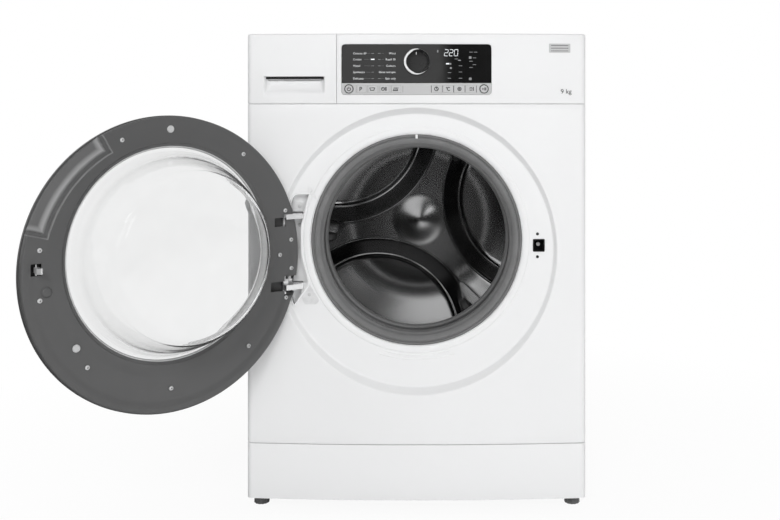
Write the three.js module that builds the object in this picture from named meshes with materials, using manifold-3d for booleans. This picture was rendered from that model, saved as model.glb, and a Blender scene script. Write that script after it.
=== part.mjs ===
// Front load washing machine as an assembly of separate parts, in millimetres.
// +Z is up, the door side faces -Y, and the origin is on the floor under the cabinet's centre.
import * as THREE from "three";
import { mergeVertices } from "three/addons/utils/BufferGeometryUtils.js";
import Module from "manifold-3d";

const wasm = await Module();
wasm.setup();

// ---- Cabinet -------------------------------------------------------------
const cabinetWidth = 600;
const cabinetDepth = 600;
const cabinetHeight = 845;
const frontBow = 11; // how far the middle of the front stands ahead of its side edges
const frontCorner = 10;
const frontReturn = 22; // depth of the front mouldings' side returns
const plinthClearance = 23; // floor to the underside of the base
const kickHeight = 98;
const consoleHeight = 124;
const worktopThickness = 30;
const topBevel = 6;
const sheet = 1; // pressed steel
const frontSheet = 1.2;
const moulding = 2.4; // plastic wall
const seam = 1.2; // visible joint line between the front pieces
const gap = 0.3; // clearance between pieces that seat on each other
const flangeWidth = 28;

// ---- Porthole and dish ---------------------------------------------------
const portholeRadius = 188;
const tubHousingClearance = 6; // dispenser housing to the tub's flange
const dishDrop = 19; // the dish and the door ring sit this far below the porthole's axis
const dishClearance = 0.5; // closed door to the edge of the dish floor
const dishFlare = 10; // how much wider the dish is at its rim
const dishDepth = 6; // behind the front's side edges
const portholeFlange = 12;
const pocketHeight = 204;
const pocketShift = 1; // the hinge pocket's middle above the dish centre
const pocketDepth = 39; // below the dish floor
const pocketRimWidth = 12;

// ---- Door ----------------------------------------------------------------
const doorOpenAngle = 140;
const hingeInset = 16; // hinge axis inside the edge of the door ring
const hingeAxisSetback = 0.38; // the hinge axis behind the bowed front beside it
const openClearance = 1.5; // how far ahead of the hinge axis the open door's near side stops
const doorLap = 53; // how far the closed door laps over the porthole's edge
const shellOverhang = 1.5; // door shell outside the door ring
const windowInset = 13; // the door's window inside the porthole's edge
const doorFaceGap = 2.5; // dish floor to the closed door's inner face
const doorRimDepth = 21;
const doorDomeDepth = 47;
const hingeSideDepth = 13.5; // the door's thickness beside the hinge axis
const doorWall = 3;
const glassWall = 4;
const bowlDepth = 92;
const bowlTaper = 57; // the bowl's end inside the window's edge
const bowlShoulder = 15; // depth of the curve between the bowl's side and end
const hingeSpread = 62; // hinge ears above and below the dish centre
const hingeEarHeight = 8;
const hingeEarRadius = 8;
const knuckleHeight = 10;
const knuckleRadius = 6;
const pinRadius = 3;
const gripFrom = 14; // degrees round the ring
const gripTo = 66;
const gripMargin = 12; // window opening to the finger grip
const gripFloorClearance = 9; // front of the door's rim to the floor of the finger grip
const latchInset = 24; // latch inside the edge of the door ring
const latchRise = 9; // latch above the dish centre
const latchSlotWidth = 21;
const latchSlotHeight = 22.5;
const lockDepth = 34;
const lockClearance = 9; // door lock outside the porthole's edge
const latchReach = 19;
const latchWindowWidth = 16; // the hook's opening in the door ring
const latchWindowHeight = 18;
const latchPinRadius = 1.2;

// ---- Console -------------------------------------------------------------
const splitMargin = 9; // drawer's joint line beside the display opening
const windowHalfWidth = 132;
const windowRise = 16; // console's lower edge to the display opening
const windowHeight = 89;
const stripHeight = 20.6;
const windowCorner = 7;
const plateThickness = 3;
const plateLedge = 2;
const keyTravel = 0.8;
const keyGap = 0.4;
const keyHeight = 13;
const keyWidth = 19;
const keySeparation = 1.3;
const keysPerSide = 4;
const roundKeyRadius = 8;
const startKeyInset = 13; // round keys inside the ends of the display opening
const firstLeftKeyStep = 21; // from the round key to the nearest bar key
const firstRightKeyStep = 23;
const knobRadius = 23;
const knobRise = 73.6; // console's lower edge to the knob's axis
const knobLength = 17;
const knobShaftRadius = 5;
const boardThickness = 2;
const boardBack = 26; // circuit board behind the front's side edges
const drawerGripWidth = 110;
const drawerGripX = -216;
const drawerGripRise = 17;
const drawerGripHeight = 32;
const drawerGripDepth = 20;

// ---- Drawer and housing --------------------------------------------------
const housingLength = 300;
const housingHeight = 84;
const housingInset = 9; // housing's outer wall from the side of the cabinet
const drawerClearance = 1.5;
const drawerWall = 2;
const trayHeight = 62;

// ---- Tub, drum and drive -------------------------------------------------
const tubSideClearance = 24;
const tubWall = 4;
const tubFlangeWidth = 7;
const tubFrontY = 66; // behind the front's side edges, as are the next two
const tubSplitY = 200;
const tubBackY = 404;
const tubNeckLength = 16;
const drumFrontClearance = 12; // inside the tub
const drumBackClearance = 32;
const shaftReach = 76; // behind the tub's back wall
const drumSideClearance = 22; // drum to the inside of the tub
const drumSheet = 1.2;
const drumMouthInset = 12; // drum's mouth inside the porthole's edge
const gasketInset = 28; // gasket's inner edge inside the porthole's edge
const petalDepth = 13;
const petalRadius = 205;
const petalOffset = 262;
const petalTurn = 10; // degrees
const domeRadius = 45;
const domeRise = 30;
const lifterTurn = 63; // degrees round the drum
const lifterRadius = 152; // lifter tip to the drum's axis
const lifterBase = 74;
const lifterTop = 22;
const lifterFrontMargin = 24; // from the drum's ends
const lifterBackMargin = 20;
const lifterWall = 3;
const spiderThickness = 12;
const frontShaftRadius = 14.7;
const rearShaftRadius = 12.2;
const bearingWidth = 15;
const frontBearingRadius = 31;
const rearBearingRadius = 26;
const hubRadius = 45;
const hubLength = 48;
const pulleyRadius = 150;
const motorPulleyRadius = 13;
const pulleyWidth = 20;
const beltWidth = 16;
const beltThickness = 3;
const motorRadius = 60;
const motorLength = 140;
const motorClearance = 19; // tub to motor
const motorGround = 3; // motor above the base tray's wall
const motorTurn = 10; // degrees from straight below the tub, where the base leaves room
const motorEarWidth = 28;
const motorEarLength = 60;
const motorEarSetback = 12; // behind the motor's front end

// ---- Suspension, weights, pump, feet, inlet ------------------------------
const springInset = 24; // inside the tub's radius
const springSetback = 36; // behind the dispenser housing
const springEarTurn = 40; // degrees above the tub's axis
const springEarHeight = 22;
const springCoilRadius = 9;
const springWire = 2;
const springTurns = 5;
const damperY = 260;
const damperFootX = 150;
const damperTopTurn = 36; // degrees below the tub's axis
const damperTopDepth = 21; // inside the tub's skin, where the rod is cut to it
const damperRadius = 15;
const damperRodRadius = 6;
const weightWidth = 290;
const weightX = 45;
const weightLength = 100;
const weightTopGap = 12;
const weightRise = 180; // porthole axis to the underside of the upper weight
const frontWeightClearance = 11; // outside the tub's neck
const frontWeightMargin = 8; // inside the tub's radius
const frontWeightThickness = 34;
const frontWeightAngle = 100;
const trayWallHeight = 42;
const trayWall = 4;
const pumpInset = 110; // pump's axis inside the cabinet's side
const pumpRadius = 32;
const pumpLength = 110;
const footInset = 19; // foot's axis inside the cabinet's side
const footSetback = 45;
const footRadius = 14;
const footPadHeight = 11;
const footStemRadius = 5;
const footStemLength = 44;
const inletInset = 90; // inlet's axis inside the cabinet's side
const inletDrop = 70;
const inletRadius = 13;
const inletReach = 14;
const valveLength = 70;
const valveHalfWidth = 24;
const relayLeft = 20; // block of relays on the back of the circuit board
const relayWidth = 90;
const relayDepth = 16;
const relayRise = 25; // above the display opening's lower edge

// ---- Places worked out from the sizes above ------------------------------
const front = -cabinetDepth / 2;
const rear = cabinetDepth / 2;
const halfWidth = cabinetWidth / 2;
const kickTop = plinthClearance + kickHeight;
const consoleBottom = cabinetHeight - consoleHeight;
const worktopBottom = cabinetHeight - worktopThickness;
const tubRadius = halfWidth - tubSideClearance;
const tubFlange = tubRadius + tubFlangeWidth;
const startKeyX = windowHalfWidth - startKeyInset;
const drawerSplitX = -windowHalfWidth - splitMargin;
const drawerX0 = -halfWidth + housingInset;
const drawerX1 = drawerSplitX - seam;
const portholeDrop = Math.round(
  housingHeight + Math.sqrt(tubFlange ** 2 - drawerX1 ** 2) + tubHousingClearance,
);
const portholeZ = worktopBottom - portholeDrop;
const dishZ = portholeZ - dishDrop;
const dishFloorY = front + dishDepth;
const returnBack = front + frontReturn;
const doorRingRadius = portholeRadius + doorLap;
const doorShellRadius = doorRingRadius + shellOverhang;
const doorWindowRadius = portholeRadius - windowInset;
const dishFloorRadius = doorShellRadius + dishClearance;
const dishRimRadius = dishFloorRadius + dishFlare;
const hingeAxisX = hingeInset - doorRingRadius;
const latchX = doorRingRadius - latchInset;
const glassFlangeRadius = doorWindowRadius + gripMargin - 5;
const gripDepth = doorRimDepth - gripFloorClearance;
const doorFaceY = dishFloorY - doorFaceGap;
const latchZ = dishZ + latchRise;
const drumRadius = tubRadius - tubWall - drumSideClearance;
const gasketRadius = portholeRadius - gasketInset;
const drumMouthRadius = portholeRadius - drumMouthInset;
const springX = tubRadius - springInset;
const footX = halfWidth - footInset;
const pumpX = halfWidth - pumpInset;
const inletX = halfWidth - inletInset;
const fineSteps = 36; // facets round the visible circles
const coarseSteps = 24; // facets round the hidden ones

// ---- Solids --------------------------------------------------------------
function solidOf(geometry) {
  const bare = geometry.index ? geometry.toNonIndexed() : geometry.clone();
  bare.deleteAttribute("normal");
  bare.deleteAttribute("uv");
  const merged = mergeVertices(bare, 1e-4);
  const corners = merged.index.array;
  const kept = [];
  for (let i = 0; i < corners.length; i += 3) {
    const [a, b, c] = [corners[i], corners[i + 1], corners[i + 2]];
    if (a !== b && b !== c && a !== c) kept.push(a, b, c);
  }
  return new wasm.Manifold(
    new wasm.Mesh({
      numProp: 3,
      vertProperties: merged.attributes.position.array,
      triVerts: new Uint32Array(kept),
    }),
  );
}

function union(solids) {
  return solids.reduce((sum, next) => sum.add(next));
}

function box(x0, x1, y0, y1, z0, z1) {
  const geometry = new THREE.BoxGeometry(x1 - x0, y1 - y0, z1 - z0);
  geometry.translate((x0 + x1) / 2, (y0 + y1) / 2, (z0 + z1) / 2);
  return solidOf(geometry);
}

function cylinderY(radius, y0, y1, x, z, segments = coarseSteps) {
  const geometry = new THREE.CylinderGeometry(radius, radius, y1 - y0, segments);
  geometry.translate(x, (y0 + y1) / 2, z);
  return solidOf(geometry);
}

function cylinderZ(radius, z0, z1, x, y, segments = 12) {
  const geometry = new THREE.CylinderGeometry(radius, radius, z1 - z0, segments);
  geometry.rotateX(Math.PI / 2);
  geometry.translate(x, y, (z0 + z1) / 2);
  return solidOf(geometry);
}

// Turns a profile of [radius, y] points about a line along Y through (x, z).
function turned(profile, x, z, segments = fineSteps) {
  let area = 0;
  profile.forEach(([r, y], i) => {
    const [nextR, nextY] = profile[(i + 1) % profile.length];
    area += r * nextY - nextR * y;
  });
  const points = profile.map(([r, y]) => new THREE.Vector2(r, y));
  if (area < 0) points.reverse();
  const onAxis = points.filter((point) => point.x === 0).length > 0;
  if (onAxis) {
    while (points[0].x !== 0 || points[points.length - 1].x !== 0) points.push(points.shift());
  } else {
    points.push(points[0].clone());
  }
  const geometry = new THREE.LatheGeometry(points, segments);
  geometry.translate(x, 0, z);
  return solidOf(geometry);
}

// A plate whose outline lies in the XZ plane, from y0 back to y1.
function plateY(outline, y0, y1) {
  const geometry = new THREE.ExtrudeGeometry(outline, {
    depth: y1 - y0,
    bevelEnabled: false,
    curveSegments: 3,
  });
  geometry.rotateX(Math.PI / 2);
  geometry.translate(0, y1, 0);
  return solidOf(geometry);
}

// A prism whose outline lies in the XY plane, from z0 up to z1.
function prismZ(outline, z0, z1) {
  const geometry = new THREE.ExtrudeGeometry(outline, {
    depth: z1 - z0,
    bevelEnabled: false,
    curveSegments: 3,
  });
  geometry.translate(0, 0, z0);
  return solidOf(geometry);
}

// A prism whose outline lies in the YZ plane, from x0 to x1.
function prismX(points, x0, x1) {
  const outline = new THREE.Shape(points.map(([y, z]) => new THREE.Vector2(y, z)));
  const geometry = new THREE.ExtrudeGeometry(outline, { depth: x1 - x0, bevelEnabled: false });
  const turn = new THREE.Matrix4().makeBasis(
    new THREE.Vector3(0, 1, 0),
    new THREE.Vector3(0, 0, 1),
    new THREE.Vector3(1, 0, 0),
  );
  geometry.applyMatrix4(turn);
  geometry.translate(x0, 0, 0);
  return solidOf(geometry);
}

function roundedOutline(x0, x1, z0, z1, radius) {
  const outline = new THREE.Shape();
  outline.moveTo(x0 + radius, z0);
  outline.lineTo(x1 - radius, z0);
  outline.absarc(x1 - radius, z0 + radius, radius, -Math.PI / 2, 0);
  outline.lineTo(x1, z1 - radius);
  outline.absarc(x1 - radius, z1 - radius, radius, 0, Math.PI / 2);
  outline.lineTo(x0 + radius, z1);
  outline.absarc(x0 + radius, z1 - radius, radius, Math.PI / 2, Math.PI);
  outline.lineTo(x0, z0 + radius);
  outline.absarc(x0 + radius, z0 + radius, radius, Math.PI, 1.5 * Math.PI);
  return outline;
}

// Offsets an open [r, y] line to both sides into a closed profile of constant wall.
function wallProfile(line, wall) {
  const sides = [1, -1].map((side) =>
    line.map(([r, y], i) => {
      const [r0, y0] = line[Math.max(i - 1, 0)];
      const [r1, y1] = line[Math.min(i + 1, line.length - 1)];
      const before = new THREE.Vector2(r - r0, y - y0).normalize();
      const after = new THREE.Vector2(r1 - r, y1 - y).normalize();
      const along = before.clone().add(after).normalize();
      const reach = wall / 2 / Math.max(along.dot(i > 0 ? before : after), 0.5);
      return [r - side * along.y * reach, y + side * along.x * reach];
    }),
  );
  return [...sides[0], ...sides[1].reverse()];
}

// ---- The bowed front -----------------------------------------------------
function bowDepth(x) {
  const half = halfWidth - frontCorner;
  const radius = (half * half + frontBow * frontBow) / (2 * frontBow);
  return front - frontBow + radius - Math.sqrt(radius * radius - x * x);
}

const hingeAxisY = bowDepth(hingeAxisX) + hingeAxisSetback;

// Plan outline of a front moulding between two heights' ends, drawn inset from its outer face.
function frontPlan(inset, back) {
  const outline = new THREE.Shape();
  const half = halfWidth - frontCorner;
  const corner = frontCorner - inset;
  const steps = 10;
  outline.moveTo(halfWidth - inset, back);
  outline.lineTo(-halfWidth + inset, back);
  outline.absarc(-half, front + frontCorner, corner, Math.PI, 1.5 * Math.PI);
  for (let i = 1; i < steps; i++) {
    const x = -half + (2 * half * i) / steps;
    outline.lineTo(x, bowDepth(x) + inset);
  }
  outline.absarc(half, front + frontCorner, corner, 1.5 * Math.PI, 2 * Math.PI);
  return outline;
}

// A front moulding between two heights, open at the back, its wall all round.
function frontShell(z0, z1, wall) {
  const outer = prismZ(frontPlan(0, returnBack), z0, z1);
  const inner = prismZ(frontPlan(wall, returnBack + wall), z0 + wall, z1 - wall);
  return outer.subtract(inner);
}

function frontSlab(z0, z1, inset, back) {
  return prismZ(frontPlan(inset, back), z0, z1);
}

function dishSolid(grow) {
  const slope = (dishRimRadius - dishFloorRadius) / (dishDepth + frontBow);
  const ahead = front - 2 * frontBow;
  const floorY = dishFloorY + grow;
  const rim = dishFloorRadius + grow + slope * (dishFloorY - ahead);
  const radius = dishFloorRadius + grow;
  const profile = [
    [0, ahead],
    [rim, ahead],
    [radius, dishFloorY],
    [radius, floorY],
    [0, floorY],
  ];
  return turned(profile, 0, dishZ, fineSteps);
}

function pocketSolid(grow, y0, y1) {
  const zMid = dishZ + pocketShift;
  const outer = cylinderY(dishFloorRadius - 0.5 + grow, y0, y1, 0, dishZ, fineSteps);
  const inner = cylinderY(portholeRadius + pocketRimWidth - grow, y0 - 1, y1 + 1, 0, portholeZ, fineSteps);
  const half = pocketHeight / 2 + grow;
  return outer.subtract(inner).intersect(box(-halfWidth, 0, y0, y1, zMid - half, zMid + half));
}

function latchSlot(y0, y1) {
  const halfW = latchSlotWidth / 2;
  const halfH = latchSlotHeight / 2;
  return box(latchX - halfW, latchX + halfW, y0, y1, latchZ - halfH, latchZ + halfH);
}

function frontPanel() {
  const z0 = kickTop + seam / 2;
  const z1 = consoleBottom - seam / 2;
  const pocketBack = dishFloorY + pocketDepth;
  const slab = frontSlab(z0, z1, 0, returnBack);
  const rimBack = dishFloorY + portholeFlange;
  return frontShell(z0, z1, frontSheet)
    .add(dishSolid(frontSheet).intersect(slab))
    .add(pocketSolid(frontSheet, dishFloorY, pocketBack + frontSheet))
    .add(cylinderY(portholeRadius + frontSheet, dishFloorY, rimBack, 0, portholeZ, fineSteps))
    .subtract(dishSolid(0))
    .subtract(pocketSolid(0, front - frontBow, pocketBack))
    .subtract(cylinderY(portholeRadius, front, rimBack + 1, 0, portholeZ, fineSteps))
    .subtract(latchSlot(front, returnBack));
}

function kickPlate() {
  return frontShell(plinthClearance, kickTop - seam / 2, moulding);
}

// ---- Console -------------------------------------------------------------
const consoleZ = consoleBottom + seam / 2;
const windowBottom = consoleBottom + windowRise;
const windowTop = windowBottom + windowHeight;
const stripTop = windowBottom + stripHeight;
const boardY = front + boardBack;
const boardTop = worktopBottom - 4;
const knobZ = consoleBottom + knobRise;
const keyZ = windowBottom + stripHeight / 2;
const keyPlaces = Array.from({ length: keysPerSide }, (_, i) => i * (keyWidth + keySeparation));
const leftKeyX = keyPlaces.map((step) => firstLeftKeyStep + step - startKeyX);
const rightKeyX = keyPlaces.map((step) => startKeyX - firstRightKeyStep - step).reverse();

function consoleShell() {
  const bevelled = (inset) =>
    prismX(
      [
        [front - 3 * frontBow, consoleZ - 1],
        [returnBack + 9, consoleZ - 1],
        [returnBack + 9, cabinetHeight - inset],
        [front - frontBow + topBevel, cabinetHeight - inset],
        [front - frontBow - topBevel, cabinetHeight - inset - 2 * topBevel],
        [front - 3 * frontBow, cabinetHeight - inset - 2 * topBevel],
      ],
      -halfWidth - 1,
      halfWidth + 1,
    );
  const outer = frontSlab(consoleZ, cabinetHeight, 0, returnBack).intersect(bevelled(0));
  const inner = frontSlab(
    consoleZ + moulding,
    cabinetHeight - moulding,
    moulding,
    returnBack + 1,
  ).intersect(bevelled(moulding));
  return outer.subtract(inner);
}

function windowOpening(inset, y0, y1) {
  const half = windowHalfWidth - inset;
  const corner = windowCorner - Math.min(inset, windowCorner - 1);
  return plateY(roundedOutline(-half, half, windowBottom + inset, windowTop - inset, corner), y0, y1);
}

// The layer between two depths behind the bowed front face.
function frontLayer(fromInset, toInset) {
  const z0 = consoleBottom;
  const z1 = cabinetHeight;
  return frontSlab(z0, z1, fromInset, returnBack).subtract(
    frontSlab(z0 - 1, z1 + 1, toInset, returnBack + 1),
  );
}

function consoleFascia() {
  const right = box(drawerSplitX + seam / 2, halfWidth, 2 * front, rear, consoleZ, cabinetHeight);
  const seatDepth = plateThickness + gap;
  const frame = windowOpening(-plateLedge, front - 2 * frontBow, returnBack)
    .subtract(windowOpening(plateLedge, front - 3 * frontBow, returnBack + 1))
    .intersect(frontLayer(0, seatDepth + moulding));
  const plateRoom = windowOpening(0, front - 2 * frontBow, returnBack).intersect(
    frontLayer(-1, seatDepth),
  );
  const ledge = frame.subtract(plateRoom).subtract(roundKeyHoles());
  const postX = windowHalfWidth + 1;
  const postFront = bowDepth(postX) + plateThickness + gap + 0.5;
  const posts = [-postX, postX].flatMap((x) =>
    [windowBottom + 12, boardTop - 8].map((z) => cylinderY(3, postFront, boardY - gap, x, z, 12)),
  );
  const splitWall = box(
    drawerSplitX + seam / 2,
    drawerSplitX + seam / 2 + moulding,
    front - frontBow,
    returnBack,
    consoleZ,
    cabinetHeight,
  ).intersect(frontSlab(consoleZ, cabinetHeight - topBevel * 2, 0, returnBack));
  return union([
    consoleShell()
      .intersect(right)
      .subtract(windowOpening(0, front - 2 * frontBow, front)),
    ledge,
    splitWall,
    ...posts,
  ]);
}

function displayWindow() {
  const low = stripTop + gap / 2;
  const half = windowHalfWidth + 1;
  return windowOpening(gap, front - 2 * frontBow, returnBack)
    .intersect(frontLayer(0, plateThickness))
    .intersect(box(-half, half, 2 * front, rear, low, windowTop))
    .subtract(cylinderY(knobShaftRadius + gap, 2 * front, rear, 0, knobZ, 24));
}

function roundKeyHoles() {
  const radius = roundKeyRadius + keyGap;
  return union([-startKeyX, startKeyX].map((x) => cylinderY(radius, 2 * front, rear, x, keyZ, 24)));
}

function keyBlock(x, width, height, y0, y1) {
  return box(x - width / 2, x + width / 2, y0, y1, keyZ - height / 2, keyZ + height / 2);
}

function keyStrip() {
  const high = stripTop - gap / 2;
  const half = windowHalfWidth + 1;
  const cutouts = [...leftKeyX, ...rightKeyX].map((x) =>
    keyBlock(x, keyWidth + 2 * keyGap, keyHeight + 2 * keyGap, 2 * front, rear),
  );
  return windowOpening(gap, front - 2 * frontBow, returnBack)
    .intersect(frontLayer(0, plateThickness))
    .intersect(box(-half, half, 2 * front, rear, windowBottom, high))
    .subtract(union(cutouts))
    .subtract(roundKeyHoles());
}

const keyBack = boardY - keyTravel - gap;

function barKey(x) {
  const proud = 0.6;
  return keyBlock(x, keyWidth, keyHeight, bowDepth(x) - proud, keyBack);
}

function roundKey(x) {
  const proud = 1.2;
  return cylinderY(roundKeyRadius, bowDepth(x) - proud, keyBack, x, keyZ, 24);
}

function programKnob() {
  const base = front - frontBow - gap;
  const nose = base - knobLength;
  const profile = [
    [0, boardY - gap],
    [knobShaftRadius, boardY - gap],
    [knobShaftRadius, base],
    [knobRadius, base],
    [knobRadius, nose + 3],
    [knobRadius - 2, nose],
    [knobRadius - 5, nose],
    [knobRadius - 6, nose + 1.5],
    [0, nose + 1.5],
  ];
  return turned(profile, 0, knobZ, 28);
}

function controlBoard() {
  const half = windowHalfWidth + 6;
  const back = boardY + boardThickness;
  const relays = box(
    relayLeft,
    relayLeft + relayWidth,
    back - 0.1,
    boardY + relayDepth,
    windowBottom + relayRise,
    boardTop - 8,
  );
  return box(-half, half, boardY, back, windowBottom + 4, boardTop).add(relays);
}

// ---- Detergent drawer ----------------------------------------------------
const housingTop = worktopBottom - gap;
const housingBottom = housingTop - housingHeight;
const housingFront = returnBack + 2;

function gripSolid(grow) {
  const z0 = consoleBottom + drawerGripRise - grow;
  const z1 = z0 + drawerGripHeight + 2 * grow;
  const depth = front - frontBow + drawerGripDepth + grow;
  const half = drawerGripWidth / 2 + grow;
  const profile = [
    [front - 3 * frontBow, z0],
    [front - frontBow + 2 + grow, z0],
    [depth, z1 - 8],
    [depth, z1],
    [front - 3 * frontBow, z1],
  ];
  return prismX(profile, drawerGripX - half, drawerGripX + half);
}

function drawerFront() {
  const left = box(-halfWidth, drawerSplitX - seam / 2, 2 * front, rear, consoleZ, cabinetHeight);
  const slab = frontSlab(consoleZ, cabinetHeight, 0, returnBack).intersect(left);
  const endWall = box(
    drawerSplitX - seam / 2 - moulding,
    drawerSplitX - seam / 2,
    front - frontBow,
    returnBack,
    consoleZ,
    cabinetHeight,
  ).intersect(frontSlab(consoleZ, cabinetHeight - topBevel * 2, 0, returnBack));
  const posts = [drawerX0 + 14, drawerX1 - 14].map((x) =>
    cylinderY(5, bowDepth(x) + moulding / 2, housingFront - gap, x, housingTop - 8.7, 16),
  );
  return union([
    consoleShell().intersect(left),
    gripSolid(moulding).intersect(slab),
    endWall,
    ...posts,
  ]).subtract(gripSolid(0));
}

function dispenserDrawer() {
  const x0 = drawerX0 + drawerWall + drawerClearance;
  const x1 = drawerX1 - drawerWall - drawerClearance;
  const y0 = housingFront;
  const y1 = housingFront + housingLength - 45;
  const z0 = housingBottom + drawerWall + gap;
  const z1 = z0 + trayHeight;
  const wall = drawerWall;
  const frontPlate = box(x0, x1, y0, y0 + wall, z0, z0 + housingHeight - 2 * drawerWall - 3);
  const middle = x0 + (x1 - x0) * 0.4;
  const softenerY = y0 + (y1 - y0) * 0.45;
  return box(x0, x1, y0, y1, z0, z1)
    .add(frontPlate)
    .subtract(box(x0 + wall, middle, y0 + wall, y1 - wall, z0 + wall, z1 + 1))
    .subtract(box(middle + wall, x1 - wall, y0 + wall, softenerY, z0 + wall, z1 + 1))
    .subtract(box(middle + wall, x1 - wall, softenerY + wall, y1 - wall, z0 + wall, z1 + 1));
}

function dispenserHousing() {
  const wall = drawerWall;
  const back = housingFront + housingLength;
  return box(drawerX0, drawerX1, housingFront, back, housingBottom, housingTop).subtract(
    box(drawerX0 + wall, drawerX1 - wall, front, back - wall, housingBottom + wall, housingTop - wall),
  );
}

// ---- Casing --------------------------------------------------------------
const casingFront = returnBack + gap;
const springAnchorZ = worktopBottom - gap - sheet;

function sidePanel(side) {
  const outer = side * halfWidth;
  const inner = side * (halfWidth - sheet);
  const flange = side * (halfWidth - flangeWidth);
  const wall = box(
    Math.min(outer, inner),
    Math.max(outer, inner),
    casingFront,
    rear - sheet - gap,
    plinthClearance,
    worktopBottom - gap,
  );
  const flangeFrom = side < 0 ? housingFront + housingLength + 4 : casingFront;
  const topFlange = box(
    Math.min(outer, flange),
    Math.max(outer, flange),
    flangeFrom,
    rear - sheet - gap,
    springAnchorZ,
    worktopBottom - gap,
  );
  return wall.add(topFlange);
}

function rearPanel() {
  const hole = cylinderY(inletRadius + 2, 0, rear + 1, inletX, worktopBottom - inletDrop, 24);
  const panel = box(-halfWidth, halfWidth, rear - sheet, rear, plinthClearance, worktopBottom - gap);
  const cover = cylinderY(pulleyRadius + 50, rear - 8, rear, 0, portholeZ, coarseSteps).subtract(
    cylinderY(pulleyRadius + 50 - sheet, rear - 8 + sheet, rear + 1, 0, portholeZ, coarseSteps),
  );
  const opening = cylinderY(pulleyRadius + 50 - sheet, 0, rear + 1, 0, portholeZ, coarseSteps);
  return panel.subtract(opening).add(cover).subtract(hole);
}

function worktop() {
  return box(-halfWidth, halfWidth, casingFront, rear, worktopBottom, cabinetHeight);
}

function baseTray() {
  const x1 = halfWidth - sheet - gap;
  const y0 = casingFront;
  const y1 = rear - sheet - gap;
  const z0 = plinthClearance;
  const bosses = footPlaces().map(([x, y]) => cylinderZ(11, z0, z0 + trayWallHeight, x, y));
  const bores = footPlaces().map(([x, y]) =>
    cylinderZ(footStemRadius + gap, z0 - 1, z0 + trayWallHeight + 1, x, y),
  );
  return box(-x1, x1, y0, y1, z0, z0 + trayWallHeight)
    .subtract(box(-x1 + trayWall, x1 - trayWall, y0 + trayWall, y1 - trayWall, z0 + trayWall, rear))
    .add(union(bosses).intersect(box(-x1, x1, y0, y1, z0, z0 + trayWallHeight)))
    .subtract(union(bores));
}

function footPlaces() {
  return [front + footSetback, rear - footSetback].flatMap((y) => [-footX, footX].map((x) => [x, y]));
}

function foot(x, y) {
  const pad = cylinderZ(footRadius, 0, footPadHeight, x, y);
  return pad.add(cylinderZ(footStemRadius, footPadHeight - 1, footPadHeight + footStemLength, x, y));
}

function inletValve() {
  const z = worktopBottom - inletDrop;
  const half = valveHalfWidth;
  const body = box(inletX - half, inletX + half, rear - valveLength, rear - sheet - gap, z - half, z + half);
  const nipple = cylinderY(inletRadius, rear - 10, rear + inletReach, inletX, z, 24);
  return body.add(nipple).subtract(cylinderY(inletRadius - 4, rear - 20, rear + 99, inletX, z, 20));
}

// ---- Tub and gasket ------------------------------------------------------
const tubFront = front + tubFrontY;
const tubSplit = front + tubSplitY;
const tubBack = front + tubBackY;
const tubNeckRadius = portholeRadius - 2;
const neckFront = tubFront - tubNeckLength;

function tubFrontHalf() {
  const profile = [
    [tubNeckRadius, neckFront],
    [tubNeckRadius + tubWall, neckFront],
    [tubNeckRadius + tubWall, tubFront],
    [tubRadius, tubFront],
    [tubRadius, tubSplit - 8],
    [tubFlange, tubSplit - 8],
    [tubFlange, tubSplit],
    [tubRadius - tubWall, tubSplit],
    [tubRadius - tubWall, tubFront + tubWall],
    [tubNeckRadius, tubFront + tubWall],
  ];
  return turned(profile, 0, portholeZ, fineSteps);
}

const bearingFrontY = tubBack + 2;
const bearingRearY = tubBack + hubLength - bearingWidth;

function tubRearHalf() {
  const split = tubSplit + gap;
  const back = tubBack + 8;
  const bearingEnd = bearingFrontY + bearingWidth + gap;
  const profile = [
    [tubRadius - tubWall, split],
    [tubFlange, split],
    [tubFlange, split + 8],
    [tubRadius, split + 8],
    [tubRadius, back],
    [hubRadius, back],
    [hubRadius, tubBack + hubLength],
    [rearBearingRadius + gap, tubBack + hubLength],
    [rearBearingRadius + gap, bearingRearY - gap],
    [rearShaftRadius + 9, bearingRearY - gap],
    [rearShaftRadius + 9, bearingEnd],
    [frontBearingRadius + gap, bearingEnd],
    [frontBearingRadius + gap, tubBack],
    [tubRadius - tubWall, tubBack],
  ];
  const bore = cylinderY(tubRadius - tubWall, split - 1, tubBack, 0, portholeZ, coarseSteps);
  const springEars = [-1, 1].map((side) => {
    const x0 = side * (springX - 40);
    const x1 = side * (springX + 14);
    const z0 = springEarTop - springEarHeight;
    return box(Math.min(x0, x1), Math.max(x0, x1), springY - 12, springY + 12, z0, springEarTop);
  });
  const motorEar = box(
    -motorEarWidth / 2,
    motorEarWidth / 2,
    motorFront + motorEarSetback,
    motorFront + motorEarSetback + motorEarLength,
    gap + motorRadius - motorReach,
    springEarHeight - tubRadius,
  )
    .rotate([0, -THREE.MathUtils.radToDeg(Math.asin(motorX / motorReach)), 0])
    .translate([0, 0, portholeZ]);
  return turned(profile, 0, portholeZ, coarseSteps).add(union([...springEars, motorEar]).subtract(bore));
}

function doorGasket() {
  const inner = gasketRadius + 1.75;
  const bellows = neckFront - dishFloorY;
  const line = [
    [portholeRadius - 2.2, dishFloorY + 1],
    [portholeRadius - 12, dishFloorY + 4],
    [portholeRadius - 21, dishFloorY + bellows * 0.3],
    [portholeRadius - 18, dishFloorY + bellows * 0.5],
    [portholeRadius + 4, dishFloorY + bellows * 0.61],
    [portholeRadius + 4, dishFloorY + bellows * 0.86],
    [tubNeckRadius - 2.2, dishFloorY + bellows * 0.95],
    [tubNeckRadius - 2.2, tubFront + 5],
    [inner, tubFront + 5],
  ];
  return turned(wallProfile(line, 3.5), 0, portholeZ, fineSteps);
}

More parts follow.
